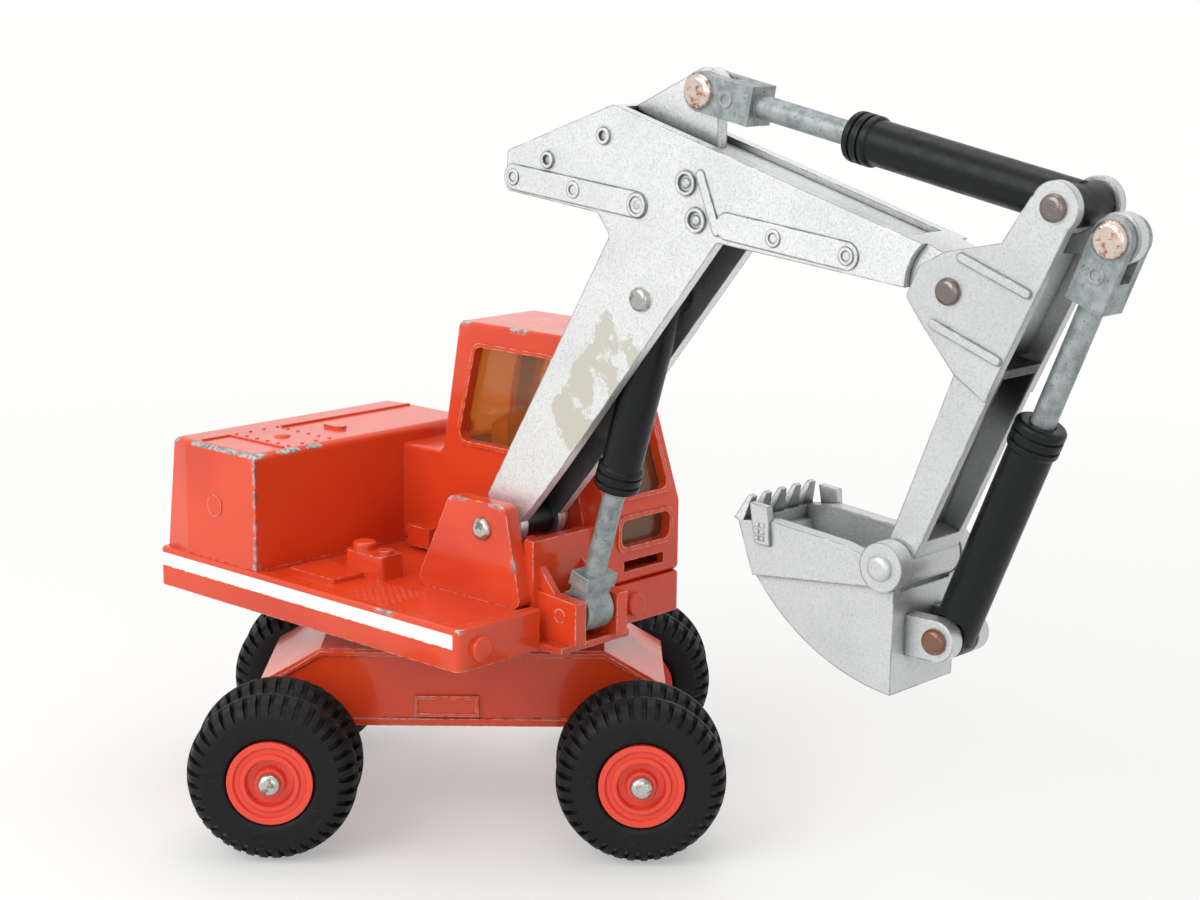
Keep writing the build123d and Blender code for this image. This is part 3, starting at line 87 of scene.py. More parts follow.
# Section of a tyre
TYRE_W = 5.6 * MM
TYRE_SEAT_R = 5.0 * MM
BEAD = 0.8 * MM
BEAD_STEPS = 3
SHOULDER = 2.1 * MM
SHOULDER_STEPS = 7
CROWN = 0.22 * MM
CROWN_STEPS = 4

# Tread: a groove takes the first share of each lug's pitch
TYRE_LUGS = 38
LUG_DEPTH = 0.7 * MM
LUG_END_R = 8.0 * MM
LUG_PHASES = (0.0, 0.05, 0.21, 0.37, 0.42, 0.5, 0.55, 0.71, 0.87, 0.92)
GROOVE_SHARE = 0.42
GROOVE_START = 0.2 * MM
GROOVE_FADE = 0.9 * MM

# Mould marks on a tyre wall, with the section of their bead as radius and rise
MARK_R = 0.78 * MM
MARK_W = 0.16 * MM
MARK_RISE = 0.05 * MM
MARK_AT = 6.75 * MM
MARK_CLOCK = (0.35, 2.2, 3.35, 4.85)
MARK_STEPS = 28
MARK_SECTION = ((MARK_R - MARK_W, -0.05), (MARK_R - MARK_W / 2, 1.0), (MARK_R, -0.05))

# Angle over which the edge of a piece is sharp, in degrees
SHARP = 35
MARK_SHARP = 40

# Rings of a dome, as shares of its radius and its rise
DOME_RINGS = ((1.0, -0.1), (0.92, 0.45), (0.66, 0.85))

# Trim on the housing's top, in millimetres ahead and to the left
HOUSING_TOP = 43.7
DOTS = 6
DOT_ROWS = (-11.9, -5.2)
DOT_FROM = -30.0
DOT_STEP = 2.05
DOT_R = 0.27
DOT_RISE = 0.16
TOP_BOSS_AT = (-24.9, -8.6)
TOP_BOSS_R = 1.1
TOP_BOSS_RISE = 0.35

# Rib and panel lines of the housing's top: limits ahead, limits to the left and rise
TOP_STRIPS = (
    ((-29.8, -29.3), (-4.8, 17.6), 0.25),
    ((-29.9, -29.5), (-17.6, -13.2), 0.2),
    ((-29.9, -19.2), (-13.4, -13.0), 0.2),
)
STRIP_SUNK = 0.1
STRIP_EASE = 0.08

# Ridges on the deck, in millimetres
DECK = 28.6
TREAD_ROWS = 14
TREAD_RIDGES = 6
TREAD_FROM = (-4.4, -16.8)
TREAD_STEP = (1.3, 0.5)
TREAD_SHIFT = 0.65
RIDGE_LENGTH = 1.0
RIDGE_WIDTH = 0.16
RIDGE_SUNK = 0.05
RIDGE_RISE = 0.07
RIDGE_EASE = 0.03

# Cushion and back of the seat: limits ahead, limits above the deck and ease of the edges
SEAT_ACROSS = (9.2, 16.4)
SEAT_SLABS = (((-2.5, 4.5), (1.4, 10.6), 1.0), ((-4.6, -1.8), (9.0, 18.5), 1.2))

# Trim of the arm, in millimetres ahead and up, with the half widths of its faces
BOOM_FACE = 3.95
BOOM_BUTTONS = ((31.1, 77.2), (39.6, 76.2), (38.1, 80.1))
BUTTON_R = 0.62
BUTTON_RISE = 0.34
CUTTER_FACE = 6.55
STUD_AT = (51.1, 43.5)
STUD_COLUMNS = 2
STUD_ROWS = 3
STUD_STEP = 0.72
STUD_LEVELS = ((0.25, -0.05), (0.25, 0.14), (0.18, 0.20))

# Half the blur at the limit of a painted band or a hollow
SOFT = 0.05 * MM

# Stripe on the skirts of the tray
STRIPE_LOW = 26.6 * MM
STRIPE_HIGH = 28.3 * MM
STRIPE_END = 17.6 * MM
STRIPE_FRAY = 0.4 * MM

# Worn patch on the boom's shin, and the run of the shin ahead and up
PATCH_AT = (25.0, -4.0, 56.5)
PATCH_REACH = 10.5 * MM
PATCH_WIDTH = 4.6 * MM
PATCH_CORE = 0.55
SHIN = Vector((21.5, 29.3)).normalized()

# Hollow of the boom, painted near-black as shade: half its width, its crest line, how far ahead it is open, and
# its back
BOOM_INSIDE = 2.56 * MM
CREST_FALL = 0.2826
CREST_TOP = 94.9 * MM
BOOM_OPEN_TO = 66.6 * MM
BACK_NORMAL = (0.862, -0.506)
BACK_REACH = -13.6 * MM

# Painted shade in the slot of the stick, below its upper web
STICK_INSIDE = 3.28 * MM
SLOT_AT = (77.0, 0.0, 62.6)
SLOT_REACH = 7.5 * MM

# Places where the red paint is worn to the metal, with the reach of the wear
WORN_HOUSE = (
    ((-28.5, -18.6, 43.6), 3.4), ((-24.0, -18.6, 43.6), 3.6), ((-19.0, -18.6, 43.4), 3.4),
    ((-18.0, -13.0, 43.6), 2.6), ((-18.0, -9.0, 43.6), 1.8), ((-18.0, -18.8, 40.6), 1.3),
    ((-18.0, -18.8, 38.2), 2.0), ((-18.0, -18.8, 34.8), 1.4), ((-18.0, -18.8, 31.9), 2.2),
    ((-18.0, -18.8, 29.8), 1.6), ((-34.5, -17.9, 43.5), 1.6),
    ((6.0, -7.3, 40.5), 2.0), ((12.4, -7.2, 40.4), 1.6), ((15.0, -7.2, 33.5), 1.5),
    ((-7.0, 6.0, 58.6), 2.2), ((3.0, 6.0, 58.8), 2.4),
)
WORN_TRAY = (((18.4, -19.1, 27.6), 1.3), ((18.5, -18.9, 28.9), 0.9), ((6.0, -19.3, 28.9), 2.4))
WORN_CORE = 0.4

# Colours
RED = (0.67, 0.058, 0.014)
RED_DEEP = (0.57, 0.042, 0.010)
# Painted shade in the creases of the red paint
RED_PAINTED_SHADE = (0.24, 0.012, 0.004)
# Pale edge colour: rubbed paint and a painted highlight
RED_RUBBED_AND_HIGHLIGHT = (0.86, 0.55, 0.46)
WHITE = (0.86, 0.86, 0.84)
BARE = (0.55, 0.55, 0.55)
BARE_DARK = (0.24, 0.24, 0.24)
SILVER = (0.77, 0.785, 0.78)
SILVER_DIM = (0.62, 0.635, 0.635)
# Darker copy of the silver for the stick, the bucket and their trim: painted shade for the weaker light on them
# than on the boom
SILVER_SHADED = (0.60, 0.615, 0.61)
SILVER_SHADED_DIM = (0.47, 0.485, 0.48)
FLAKE = (0.38, 0.39, 0.395)
EDGE_DIRT = (0.17, 0.18, 0.185)
# Painted shade in the creases of the silver
CREASE_SHADE = (0.14, 0.15, 0.155)
# Painted shade deep in the hollows of the silver and in the stick's slot
RECESS_SHADE = (0.045, 0.048, 0.050)
# Painted shade: near-black inside the boom
HOLLOW_SHADE = (0.012, 0.013, 0.014)
BEIGE = (0.46, 0.45, 0.38)
ZINC = (0.27, 0.30, 0.30)
ZINC_LIGHT = (0.33, 0.37, 0.37)
ZINC_DARK = (0.20, 0.23, 0.235)
ZINC_PIT = (0.11, 0.125, 0.13)
ZINC_EDGE = (0.56, 0.58, 0.58)
STEEL = (0.50, 0.49, 0.47)
STEEL_STAIN = (0.20, 0.17, 0.15)
BRIGHT = (0.64, 0.53, 0.47)
COPPER = (0.30, 0.115, 0.055)
GREY_STEEL = (0.42, 0.41, 0.40)
GREY_STAIN = (0.10, 0.09, 0.085)
BRONZE = (0.20, 0.175, 0.165)
BRONZE_STAIN = (0.24, 0.15, 0.11)
OLD_COPPER = (0.20, 0.095, 0.065)
OLD_COPPER_SHINE = (0.38, 0.33, 0.30)
BLACK = (0.005, 0.006, 0.007)
BLACK_SCRATCH = (0.14, 0.155, 0.165)
HUB_RED = (0.74, 0.055, 0.028)
HUB_SCATTER = (0.0012, 0.0003, 0.0002)
RUBBER = (0.006, 0.006, 0.007)
RUBBER_DUST = (0.17, 0.165, 0.16)
AMBER = (0.72, 0.34, 0.10)
AMBER_SEAT = (0.90, 0.62, 0.26)

slew = next(joint for joint in frame["joints"] if joint["name"] == "slew")
SLEW_FOOT = Vector((slew["pos_m"][0], slew["pos_m"][1], 0.0))
AHEAD = Vector((math.cos(HOUSE_TURN), math.sin(HOUSE_TURN), 0.0))
LEFTWARD = Vector((-math.sin(HOUSE_TURN), math.cos(HOUSE_TURN), 0.0))


def spot(u, v, z):
    """A place on the house in millimetres ahead, to the left and up from the slew axis foot."""
    return SLEW_FOOT + (AHEAD * u + LEFTWARD * v + Vector((0, 0, z))) * MM


# Nodes of a material and of the world


class Nodes:
    """Short ways to add nodes to a tree."""

    def __init__(self, tree):
        self.tree = tree
        self.coords = self.node("ShaderNodeTexCoord")

    def node(self, kind, **settings):
        node = self.tree.nodes.new(kind)
        for key, value in settings.items():
            setattr(node, key, value)
        return node

    def link(self, output, target):
        self.tree.links.new(output, target)

    def ramp(self, value, low, high, to_low=0.0, to_high=1.0):
        node = self.node("ShaderNodeMapRange", interpolation_type="SMOOTHSTEP", clamp=True)
        self.link(value, node.inputs["Value"])
        node.inputs["From Min"].default_value = low
        node.inputs["From Max"].default_value = high
        node.inputs["To Min"].default_value = to_low
        node.inputs["To Max"].default_value = to_high
        return node.outputs["Result"]

    def math(self, operation, first, second, clamp=False):
        node = self.node("ShaderNodeMath", operation=operation, use_clamp=clamp)
        for socket, value in zip(node.inputs, (first, second)):
            if isinstance(value, (int, float)):
                socket.default_value = value
            else:
                self.link(value, socket)
        return node.outputs[0]

    def times(self, *values):
        """The product of several masks or numbers."""
        total = values[0]
        for value in values[1:]:
            total = self.math("MULTIPLY", total, value)
        return total

    def most(self, *masks):
        """The highest of several masks."""
        total = masks[0]
        for mask in masks[1:]:
            total = self.math("MAXIMUM", total, mask)
        return total

    def dot(self, output, direction):
        node = self.node("ShaderNodeVectorMath", operation="DOT_PRODUCT")
        self.link(output, node.inputs[0])
        node.inputs[1].default_value = direction
        return node.outputs["Value"]

    def seen(self):
        """One for rays from the camera, off a glossy face and through glazing."""
        paths = self.node("ShaderNodeLightPath")
        passed = self.math("ADD", paths.outputs["Is Glossy Ray"], paths.outputs["Is Transmission Ray"], clamp=True)
        return self.math("ADD", paths.outputs["Is Camera Ray"], passed, clamp=True)


class Shader(Nodes):
    """A material with a Principled shader."""

    def __init__(self, name, colour, roughness, metallic=0.0):
        self.material = bpy.data.materials.new(name)
        self.material.use_nodes = True
        super().__init__(self.material.node_tree)
        self.bsdf = self.tree.nodes["Principled BSDF"]
        self.fix("Base Color", (*colour, 1))
        self.fix("Roughness", roughness)
        self.fix("Metallic", metallic)

    def fix(self, socket, value):
        self.bsdf.inputs[socket].default_value = value

    def noise(self, size, detail=4.0, roughness=0.55, seed=0.0):
        """Noise with features of that size in metres."""
        shift = self.node("ShaderNodeVectorMath", operation="ADD")
        self.link(self.coords.outputs["Object"], shift.inputs[0])
        shift.inputs[1].default_value = (seed, seed * 0.7, seed * 1.3)
        node = self.node("ShaderNodeTexNoise")
        node.inputs["Scale"].default_value = 1.0 / size
        node.inputs["Detail"].default_value = detail
        node.inputs["Roughness"].default_value = roughness
        self.link(shift.outputs[0], node.inputs["Vector"])
        return node.outputs["Fac"]

    def along(self, direction, start=SLEW_FOOT):
        """Distance of the surface point along a direction, from the slew axis foot or another start."""
        reach = self.dot(self.coords.outputs["Object"], direction)
        return self.math("SUBTRACT", reach, start.dot(direction))

    def aside(self, direction, start=SLEW_FOOT):
        """The same distance, without its sign."""
        return self.math("ABSOLUTE", self.along(direction, start), 0.0)

    def facing(self, direction):
        """One where the surface faces a direction, falling to minus one where it faces away."""
        return self.dot(self.coords.outputs["Normal"], direction)

    def under(self, value, limit):
        """One below a limit and zero above it."""
        return self.ramp(value, limit + SOFT, limit - SOFT)

    def over(self, value, limit):
        """One above a limit and zero below it."""
        return self.ramp(value, limit - SOFT, limit + SOFT)

    def edges(self, radius, low, high):
        """One where the surface turns within that radius."""
        bevel = self.node("ShaderNodeBevel", samples=6)
        bevel.inputs["Radius"].default_value = radius
        plain = self.node("ShaderNodeNewGeometry")
        turn = self.node("ShaderNodeVectorMath", operation="DOT_PRODUCT")
        self.link(bevel.outputs["Normal"], turn.inputs[0])
        self.link(plain.outputs["Normal"], turn.inputs[1])
        return self.ramp(turn.outputs["Value"], 1 - low, 1 - high)

    def shade(self, reach):
        """One on open faces, falling to zero deep inside hollows of that reach."""
        node = self.node("ShaderNodeAmbientOcclusion", samples=6, only_local=True)
        node.inputs["Distance"].default_value = reach
        return node.outputs["AO"]

    def near(self, place, radius):
        """One at a place, falling to zero at that radius."""
        node = self.node("ShaderNodeVectorMath", operation="DISTANCE")
        self.link(self.coords.outputs["Object"], node.inputs[0])
        node.inputs[1].default_value = place
        return self.ramp(node.outputs["Value"], radius, WORN_CORE * radius)

    def mix(self, mask, under, over):
        node = self.node("ShaderNodeMix", data_type="RGBA")
        self.link(mask, node.inputs["Factor"])
        for socket, value in ((node.inputs[6], under), (node.inputs[7], over)):
            if isinstance(value, tuple):
                socket.default_value = (*value, 1)
            else:
                self.link(value, socket)
        return node.outputs[2]

    def bump(self, height, strength, distance, rounding=0.0):
        node = self.node("ShaderNodeBump")
        node.inputs["Strength"].default_value = strength
        node.inputs["Distance"].default_value = distance
        self.link(height, node.inputs["Height"])
        if rounding:
            bevel = self.node("ShaderNodeBevel", samples=4)
            bevel.inputs["Radius"].default_value = rounding
            self.link(bevel.outputs["Normal"], node.inputs["Normal"])
        self.link(node.outputs["Normal"], self.bsdf.inputs["Normal"])

    def colour(self, output):
        self.link(output, self.bsdf.inputs["Base Color"])

    def rough(self, output):
        self.link(output, self.bsdf.inputs["Roughness"])

    def uneven(self, size, seed, low, high):
        """Roughness that wanders between two values."""
        self.rough(self.ramp(self.noise(size, seed=seed), 0.2, 0.8, low, high))

    def metal(self, output):
        self.link(output, self.bsdf.inputs["Metallic"])


# Looks


def stripe_mask(look):
    """The white stripe along the skirts, frayed below and rubbed through in places."""
    height = look.along(UP)
    fray = look.math("SUBTRACT", look.noise(0.5 * MM, detail=6, seed=8.0), 0.5)
    frayed = look.math("ADD", height, look.times(fray, STRIPE_FRAY))
    side = look.ramp(look.math("ABSOLUTE", look.facing(LEFTWARD), 0.0), 0.7, 0.8)
    rubbed = look.ramp(look.noise(0.9 * MM, detail=6, seed=5.0), 0.24, 0.29)
    return look.times(look.over(frayed, STRIPE_LOW), look.under(height, STRIPE_HIGH),
                      look.under(look.along(AHEAD), STRIPE_END), side, rubbed)


def bald_mask(look, outer, worn):
    """Ragged bald places on the edges and slants near the worn places."""
    close = look.most(*(look.near(spot(*place), reach * MM) for place, reach in worn))
    slope = look.facing(UP)
    slanted = look.times(look.ramp(slope, 0.10, 0.60), look.ramp(slope, 1.0, 0.90))
    turned = look.most(look.times(look.edges(1.7 * MM, 0.0, 0.24), outer), slanted)
    ragged = look.math("SUBTRACT", look.noise(0.85 * MM, detail=8, roughness=0.7, seed=9.0), 0.5)
    bald = look.math("ADD", look.times(turned, close), look.times(ragged, 2.4))
    return look.times(look.ramp(bald, 0.52, 0.56), look.ramp(close, 0.02, 0.2), look.ramp(turned, 0.02, 0.10))


def chip_mask(look, outer, worn):
    """Where the red paint is gone: chipped edges, specks and bald places."""
    edge = look.times(look.edges(0.30 * MM, 0.03, 0.16), outer)
    fine = look.noise(1.3 * MM, detail=8, roughness=0.7, seed=2.0)
    broad = look.noise(14 * MM, detail=2, seed=3.0)
    chips = look.times(edge, look.ramp(look.math("ADD", fine, look.times(broad, 0.9)), 1.03, 1.08))
    specks = look.times(look.ramp(look.noise(0.7 * MM, detail=3, seed=4.0), 0.80, 0.82), 0.8)
    chips = look.most(chips, specks)
    return look.most(chips, bald_mask(look, outer, worn)) if worn else chips


def red_paint(name, stripe=False, worn=(), chipped_and_highlit=True):
    """Gloss red enamel, chipped to bare metal along its edges, with painted shade in its creases and pale edges
    that are partly a painted highlight.
    """
    look = Shader(name, RED, 0.2)
    look.fix("Specular IOR Level", 0.35)
    look.fix("Coat Weight", 0.25)
    look.fix("Coat Roughness", 0.05)
    cloud = look.ramp(look.noise(16 * MM, detail=2, seed=1.0), 0.35, 0.75)
    base = look.mix(cloud, RED, RED_DEEP)
    openness = look.shade(1.2 * MM)
    # Painted shade: the red darkens in creases and corners, from ambient occlusion
    base = look.mix(look.ramp(openness, 0.50, 0.10, 0.0, 0.7), base, RED_PAINTED_SHADE)
    if stripe:
        base = look.mix(stripe_mask(look), base, WHITE)
    if chipped_and_highlit:
        outer = look.ramp(openness, 0.72, 0.92)
        # Pale edges: partly rubbed paint, partly a painted highlight on the rounded edges
        thin = look.ramp(look.noise(0.9 * MM, detail=6, seed=10.0), 0.38, 0.58, 0.0, 0.8)
        rubbed = look.times(look.edges(0.28 * MM, 0.03, 0.14), outer, thin)
        base = look.mix(rubbed, base, RED_RUBBED_AND_HIGHLIGHT)
        chips = chip_mask(look, outer, worn)
        tarnish = look.ramp(look.noise(0.6 * MM, detail=4, seed=17.0), 0.40, 0.62)
        base = look.mix(chips, base, look.mix(tarnish, BARE, BARE_DARK))
        look.metal(look.times(chips, 0.8))
    look.colour(base)
    look.uneven(4 * MM, 6.0, 0.16, 0.26)
    look.bump(look.noise(1.1 * MM, detail=2, seed=7.0), 0.10, 0.12 * MM, rounding=0.25 * MM)
    return look.material


def patch_mask(look):
    """The patch on the right of the boom's shin where the silver is lost."""
    place = spot(*PATCH_AT)
    far = look.aside(AHEAD * SHIN.x + UP * SHIN.y, place)
    wide = look.aside(AHEAD * SHIN.y - UP * SHIN.x, place)
    centre = look.times(look.ramp(far, PATCH_REACH, PATCH_REACH * PATCH_CORE),
                        look.ramp(wide, PATCH_WIDTH, PATCH_WIDTH * PATCH_CORE))
    ragged = look.noise(4.0 * MM, detail=6, roughness=0.62, seed=14.0)
    shape = look.math("ADD", ragged, look.times(centre, 0.20))
    right = look.ramp(look.facing(-LEFTWARD), 0.8, 0.9)
    return look.times(look.ramp(shape, 0.61, 0.66), right, look.ramp(centre, 0.05, 0.3))


def hollow_shade_mask(look):
    """The inside of the boom, between its sides and below its webs, where shade is painted near-black."""
    ahead = look.along(AHEAD)
    crest = look.math("ADD", look.along(UP), look.times(ahead, CREST_FALL))
    inward = look.along(AHEAD * BACK_NORMAL[0] + UP * BACK_NORMAL[1])
    return look.times(look.under(look.aside(LEFTWARD), BOOM_INSIDE),
                      look.ramp(inward, BACK_REACH, BACK_REACH + 0.2 * MM),
                      look.ramp(crest, CREST_TOP, CREST_TOP - 0.1 * MM),
                      look.ramp(ahead, BOOM_OPEN_TO, BOOM_OPEN_TO - 0.2 * MM))


def silver_paint(name, tone=SILVER_SHADED, dim=SILVER_SHADED_DIM, patch_and_hollow_shade=False, recess_shade_strength=0.9, slot_shade=False):
    """Metallic silver enamel with painted shade in its hollows and creases, and dirt along its edges."""
    look = Shader(name, tone, 0.35, 0.7)
    cloud = look.ramp(look.noise(9 * MM, detail=3, seed=11.0), 0.35, 0.8)
    base = look.mix(look.times(cloud, 0.5), tone, dim)
    flake = look.ramp(look.noise(0.26 * MM, detail=2, seed=12.0), 0.42, 0.70)
    base = look.mix(look.times(flake, 0.40), base, FLAKE)
    if patch_and_hollow_shade:
        bald = patch_mask(look)
        base = look.mix(look.times(bald, 0.92), base, BEIGE)
        look.metal(look.ramp(bald, 0.0, 1.0, 0.7, 0.1))
    edge = look.edges(0.34 * MM, 0.02, 0.14)
    dirt = look.times(edge, look.ramp(look.noise(2.2 * MM, detail=6, seed=13.0), 0.34, 0.54))
    base = look.mix(look.times(dirt, 0.85), base, EDGE_DIRT)
    # Painted shade: dark lines in the creases, from short-reach ambient occlusion
    base = look.mix(look.ramp(look.shade(0.6 * MM), 0.85, 0.35, 0.0, 0.75), base, CREASE_SHADE)
    # Painted shade: darker deep in hollows, from ambient occlusion
    base = look.mix(look.ramp(look.shade(6.0 * MM), 0.80, 0.25, 0.0, recess_shade_strength), base, RECESS_SHADE)
    # Painted shade: the inside of the boom is painted near-black
    if patch_and_hollow_shade:
        base = look.mix(look.times(hollow_shade_mask(look), 0.96), base, HOLLOW_SHADE)
    # Painted shade: the slot of the stick darkens below its upper web
    if slot_shade:
        inside = look.under(look.aside(LEFTWARD), STICK_INSIDE)
        base = look.mix(look.times(inside, look.near(spot(*SLOT_AT), SLOT_REACH)), base, RECESS_SHADE)
    look.colour(base)
    look.uneven(0.35 * MM, 15.0, 0.26, 0.50)
    look.bump(look.noise(0.32 * MM, detail=3, seed=16.0), 0.35, 0.07 * MM, rounding=0.25 * MM)
    return look.material


def bare_zinc():
    """Dull grey casting of the rods."""
    look = Shader("bare_zinc", ZINC, 0.45, 0.6)
    cloud = look.ramp(look.noise(1.4 * MM, detail=6, seed=21.0), 0.35, 0.7)
    base = look.mix(cloud, ZINC_LIGHT, ZINC_DARK)
    pits = look.ramp(look.noise(0.3 * MM, detail=4, seed=24.0), 0.60, 0.70)
    base = look.mix(pits, base, ZINC_PIT)
    edge = look.edges(0.25 * MM, 0.03, 0.2)
    look.colour(look.mix(look.times(edge, 0.5), base, ZINC_EDGE))
    look.uneven(0.7 * MM, 22.0, 0.36, 0.6)
    look.bump(look.noise(0.4 * MM, detail=4, seed=23.0), 0.4, 0.10 * MM, rounding=0.2 * MM)
    return look.material


def rivet_steel(name, colour, stain_colour, stain_share, metal=0.9):
    """A rivet head, tarnished over that share of it."""
    look = Shader(name, colour, 0.3, metal)
    cloud = look.noise(0.9 * MM, detail=6, roughness=0.6, seed=31.0)
    stain = look.ramp(cloud, 0.68 - 0.36 * stain_share, 0.76 - 0.30 * stain_share)
    look.colour(look.mix(look.times(stain, 0.9), colour, stain_colour))
    look.rough(look.ramp(stain, 0.0, 1.0, 0.24, 0.50))
    look.bump(look.noise(0.45 * MM, detail=3, seed=32.0), 0.45, 0.12 * MM)
    return look.material


def black_plastic():
    """Scratched black plastic."""
    look = Shader("black_plastic", BLACK, 0.28)
    look.fix("Specular IOR Level", 0.22)
    scratch = look.ramp(look.noise(0.45 * MM, detail=8, roughness=0.75, seed=41.0), 0.68, 0.75)
    edge = look.edges(0.25 * MM, 0.04, 0.2)
    worn = look.most(look.times(scratch, 0.55), look.times(edge, 0.12))
    look.colour(look.mix(worn, BLACK, BLACK_SCRATCH))
    look.uneven(1.4 * MM, 42.0, 0.22, 0.44)
    look.bump(look.noise(0.8 * MM, detail=4, seed=43.0), 0.3, 0.10 * MM, rounding=0.15 * MM)
    return look.material


def red_plastic():
    """Red plastic that lets a little light in."""
    look = Shader("red_plastic", HUB_RED, 0.3)
    look.fix("Subsurface Weight", 0.08)
    look.fix("Subsurface Radius", HUB_SCATTER)
    look.uneven(1.6 * MM, 51.0, 0.24, 0.40)
    look.bump(look.noise(1.2 * MM, detail=2, seed=52.0), 0.08, 0.12 * MM, rounding=0.15 * MM)
    return look.material


def tyre_rubber():
    """Black rubber with grey specks and slightly paler edges."""
    look = Shader("tyre_rubber", RUBBER, 0.5)
    look.fix("Specular IOR Level", 0.20)
    dust = look.ramp(look.noise(0.40 * MM, detail=6, roughness=0.7, seed=61.0), 0.66, 0.74)
    edge = look.edges(0.15 * MM, 0.05, 0.3)
    grey = look.most(look.times(dust, 0.40), look.times(edge, 0.10))
    look.colour(look.mix(grey, RUBBER, RUBBER_DUST))
    look.uneven(1.2 * MM, 62.0, 0.38, 0.62)
    look.bump(look.noise(0.30 * MM, detail=4, seed=63.0), 0.25, 0.06 * MM)
    return look.material


def amber_glazing():
    """Clear amber plastic, slightly wavy."""
    look = Shader("amber_glazing", AMBER, 0.05)
    look.fix("Transmission Weight", 0.9)
    look.fix("IOR", 1.45)
    look.bump(look.noise(2.4 * MM, detail=3, seed=71.0), 0.12, 0.2 * MM)
    return look.material


MATERIALS = {
    "red_paint": red_paint("red_paint"),
    "silver_paint": silver_paint("silver_paint"),
    "bare_zinc": bare_zinc(),
    "steel": rivet_steel("steel", STEEL, STEEL_STAIN, 0.45),
    "black_plastic": black_plastic(),
    "red_plastic": red_plastic(),
    "tyre_rubber": tyre_rubber(),
    "amber_glazing": amber_glazing(),
}
SMOOTH_RED = red_paint("red_paint_smooth", chipped_and_highlit=False)
SEAT_LOOK = Shader("amber_seat", AMBER_SEAT, 0.3).material
BRIGHT_RIVET = rivet_steel("bright_rivet", BRIGHT, COPPER, 0.45)
STEEL_RIVET = rivet_steel("steel_rivet", GREY_STEEL, GREY_STAIN, 0.30)
DARK_RIVET = rivet_steel("dark_rivet", BRONZE, BRONZE_STAIN, 0.40)
COPPER_RIVET = rivet_steel("copper_rivet", OLD_COPPER, OLD_COPPER_SHINE, 0.20, metal=0.6)
NODE_LOOKS = {
    "house_body": red_paint("red_paint_worn", worn=WORN_HOUSE),
    "deck_tray": red_paint("red_paint_striped", stripe=True, worn=WORN_TRAY),
    # The boom's silver carries its worn patch and the painted near-black shade of its hollow
    "boom": silver_paint("silver_paint_patched_and_shaded", SILVER, SILVER_DIM, patch_and_hollow_shade=True),
    # The stick's silver has weaker painted shade in its hollows, and painted shade in its slot
    "stick": silver_paint("silver_paint_shaded", recess_shade_strength=0.55, slot_shade=True),
    "stick_rod_pin": BRIGHT_RIVET,
    "bucket_rod_pin": BRIGHT_RIVET,
    "stick_pin": DARK_RIVET,
    "stick_ram_pin": DARK_RIVET,
    "boom_ram_pin": STEEL_RIVET,
    "bucket_ram_pin": COPPER_RIVET,
    "bucket_pin": MATERIALS["silver_paint"],
    "lug_pin": MATERIALS["red_paint"],
}

for part in frame["record"]["subparts"]:
    mesh = frame["nodes"][part["node"]].data
    mesh.materials.clear()
    mesh.materials.append(NODE_LOOKS.get(part["node"], MATERIALS[part["material_slot"]]))


# Pieces made here


def piece(name, vertices, faces, slot, body, look=None, sharp=SHARP):
    """A mesh that rides on a body, in the look of its slot or another."""
    mesh = bpy.data.meshes.new(name)
    mesh.from_pydata(vertices, [], faces)
    mesh.materials.append(look or MATERIALS[slot])
    for polygon in mesh.polygons:
        polygon.use_smooth = True
    mesh.set_sharp_from_angle(angle=math.radians(sharp))
    obj = bpy.data.objects.new(name, mesh)
    bpy.context.collection.objects.link(obj)
    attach(obj, body)
    return obj


# Tyres with their tread


def tyre_profile(radius):
    """Half section from the bead over the shoulder to the crown, as (out, radius) pairs."""
    half = TYRE_W / 2
    points = [(half - BEAD, TYRE_SEAT_R)]
    for step in range(1, BEAD_STEPS + 1):
        turn = math.pi / 2 * step / BEAD_STEPS
        points.append((half - BEAD * (1 - math.sin(turn)), TYRE_SEAT_R + BEAD * (1 - math.cos(turn))))
    points.append((half, (TYRE_SEAT_R + LUG_END_R) / 2))
    rim = radius - CROWN - SHOULDER
    for step in range(SHOULDER_STEPS + 1):
        turn = math.pi / 2 * step / SHOULDER_STEPS
        points.append((half - SHOULDER * (1 - math.cos(turn)), rim + SHOULDER * math.sin(turn)))
    inner = half - SHOULDER
    for step in range(1, CROWN_STEPS + 1):
        share = 1 - step / CROWN_STEPS
        points.append((inner * share, radius - CROWN * share * share))
    return points


def groove(phase, out, radius):
    """Depth of the tread between two lugs at a point of the section."""
    phase = phase % 1.0
    if not 0.0 < phase < GROOVE_SHARE or radius < LUG_END_R or abs(out) < GROOVE_START:
        return 0.0
    return LUG_DEPTH * min(1.0, (radius - LUG_END_R) / GROOVE_FADE)


def tyre(centre, radius, turned):
    """One tyre, its lugs set half a pitch apart on the two halves."""
    half = tyre_profile(radius)
    section = [(-out, r) for out, r in half] + [(out, r) for out, r in reversed(half[:-1])]
    columns = [(lug + phase) / TYRE_LUGS for lug in range(TYRE_LUGS) for phase in LUG_PHASES]
    vertices = []
    for column in columns:
        angle = 2 * math.pi * column + turned
        for out, r in section:
            phase = column * TYRE_LUGS + (0.5 if out > 0 else 0.0)
            deep = r - groove(phase, out, r)
            vertices.append(centre + Vector((deep * math.sin(angle), out, deep * math.cos(angle))))
    rows = len(section)
    faces = []
    for i in range(len(columns)):
        after = (i + 1) % len(columns)
        for j in range(rows):
            up = (j + 1) % rows
            faces.append((i * rows + j, i * rows + up, after * rows + up, after * rows + j))
    return vertices, faces


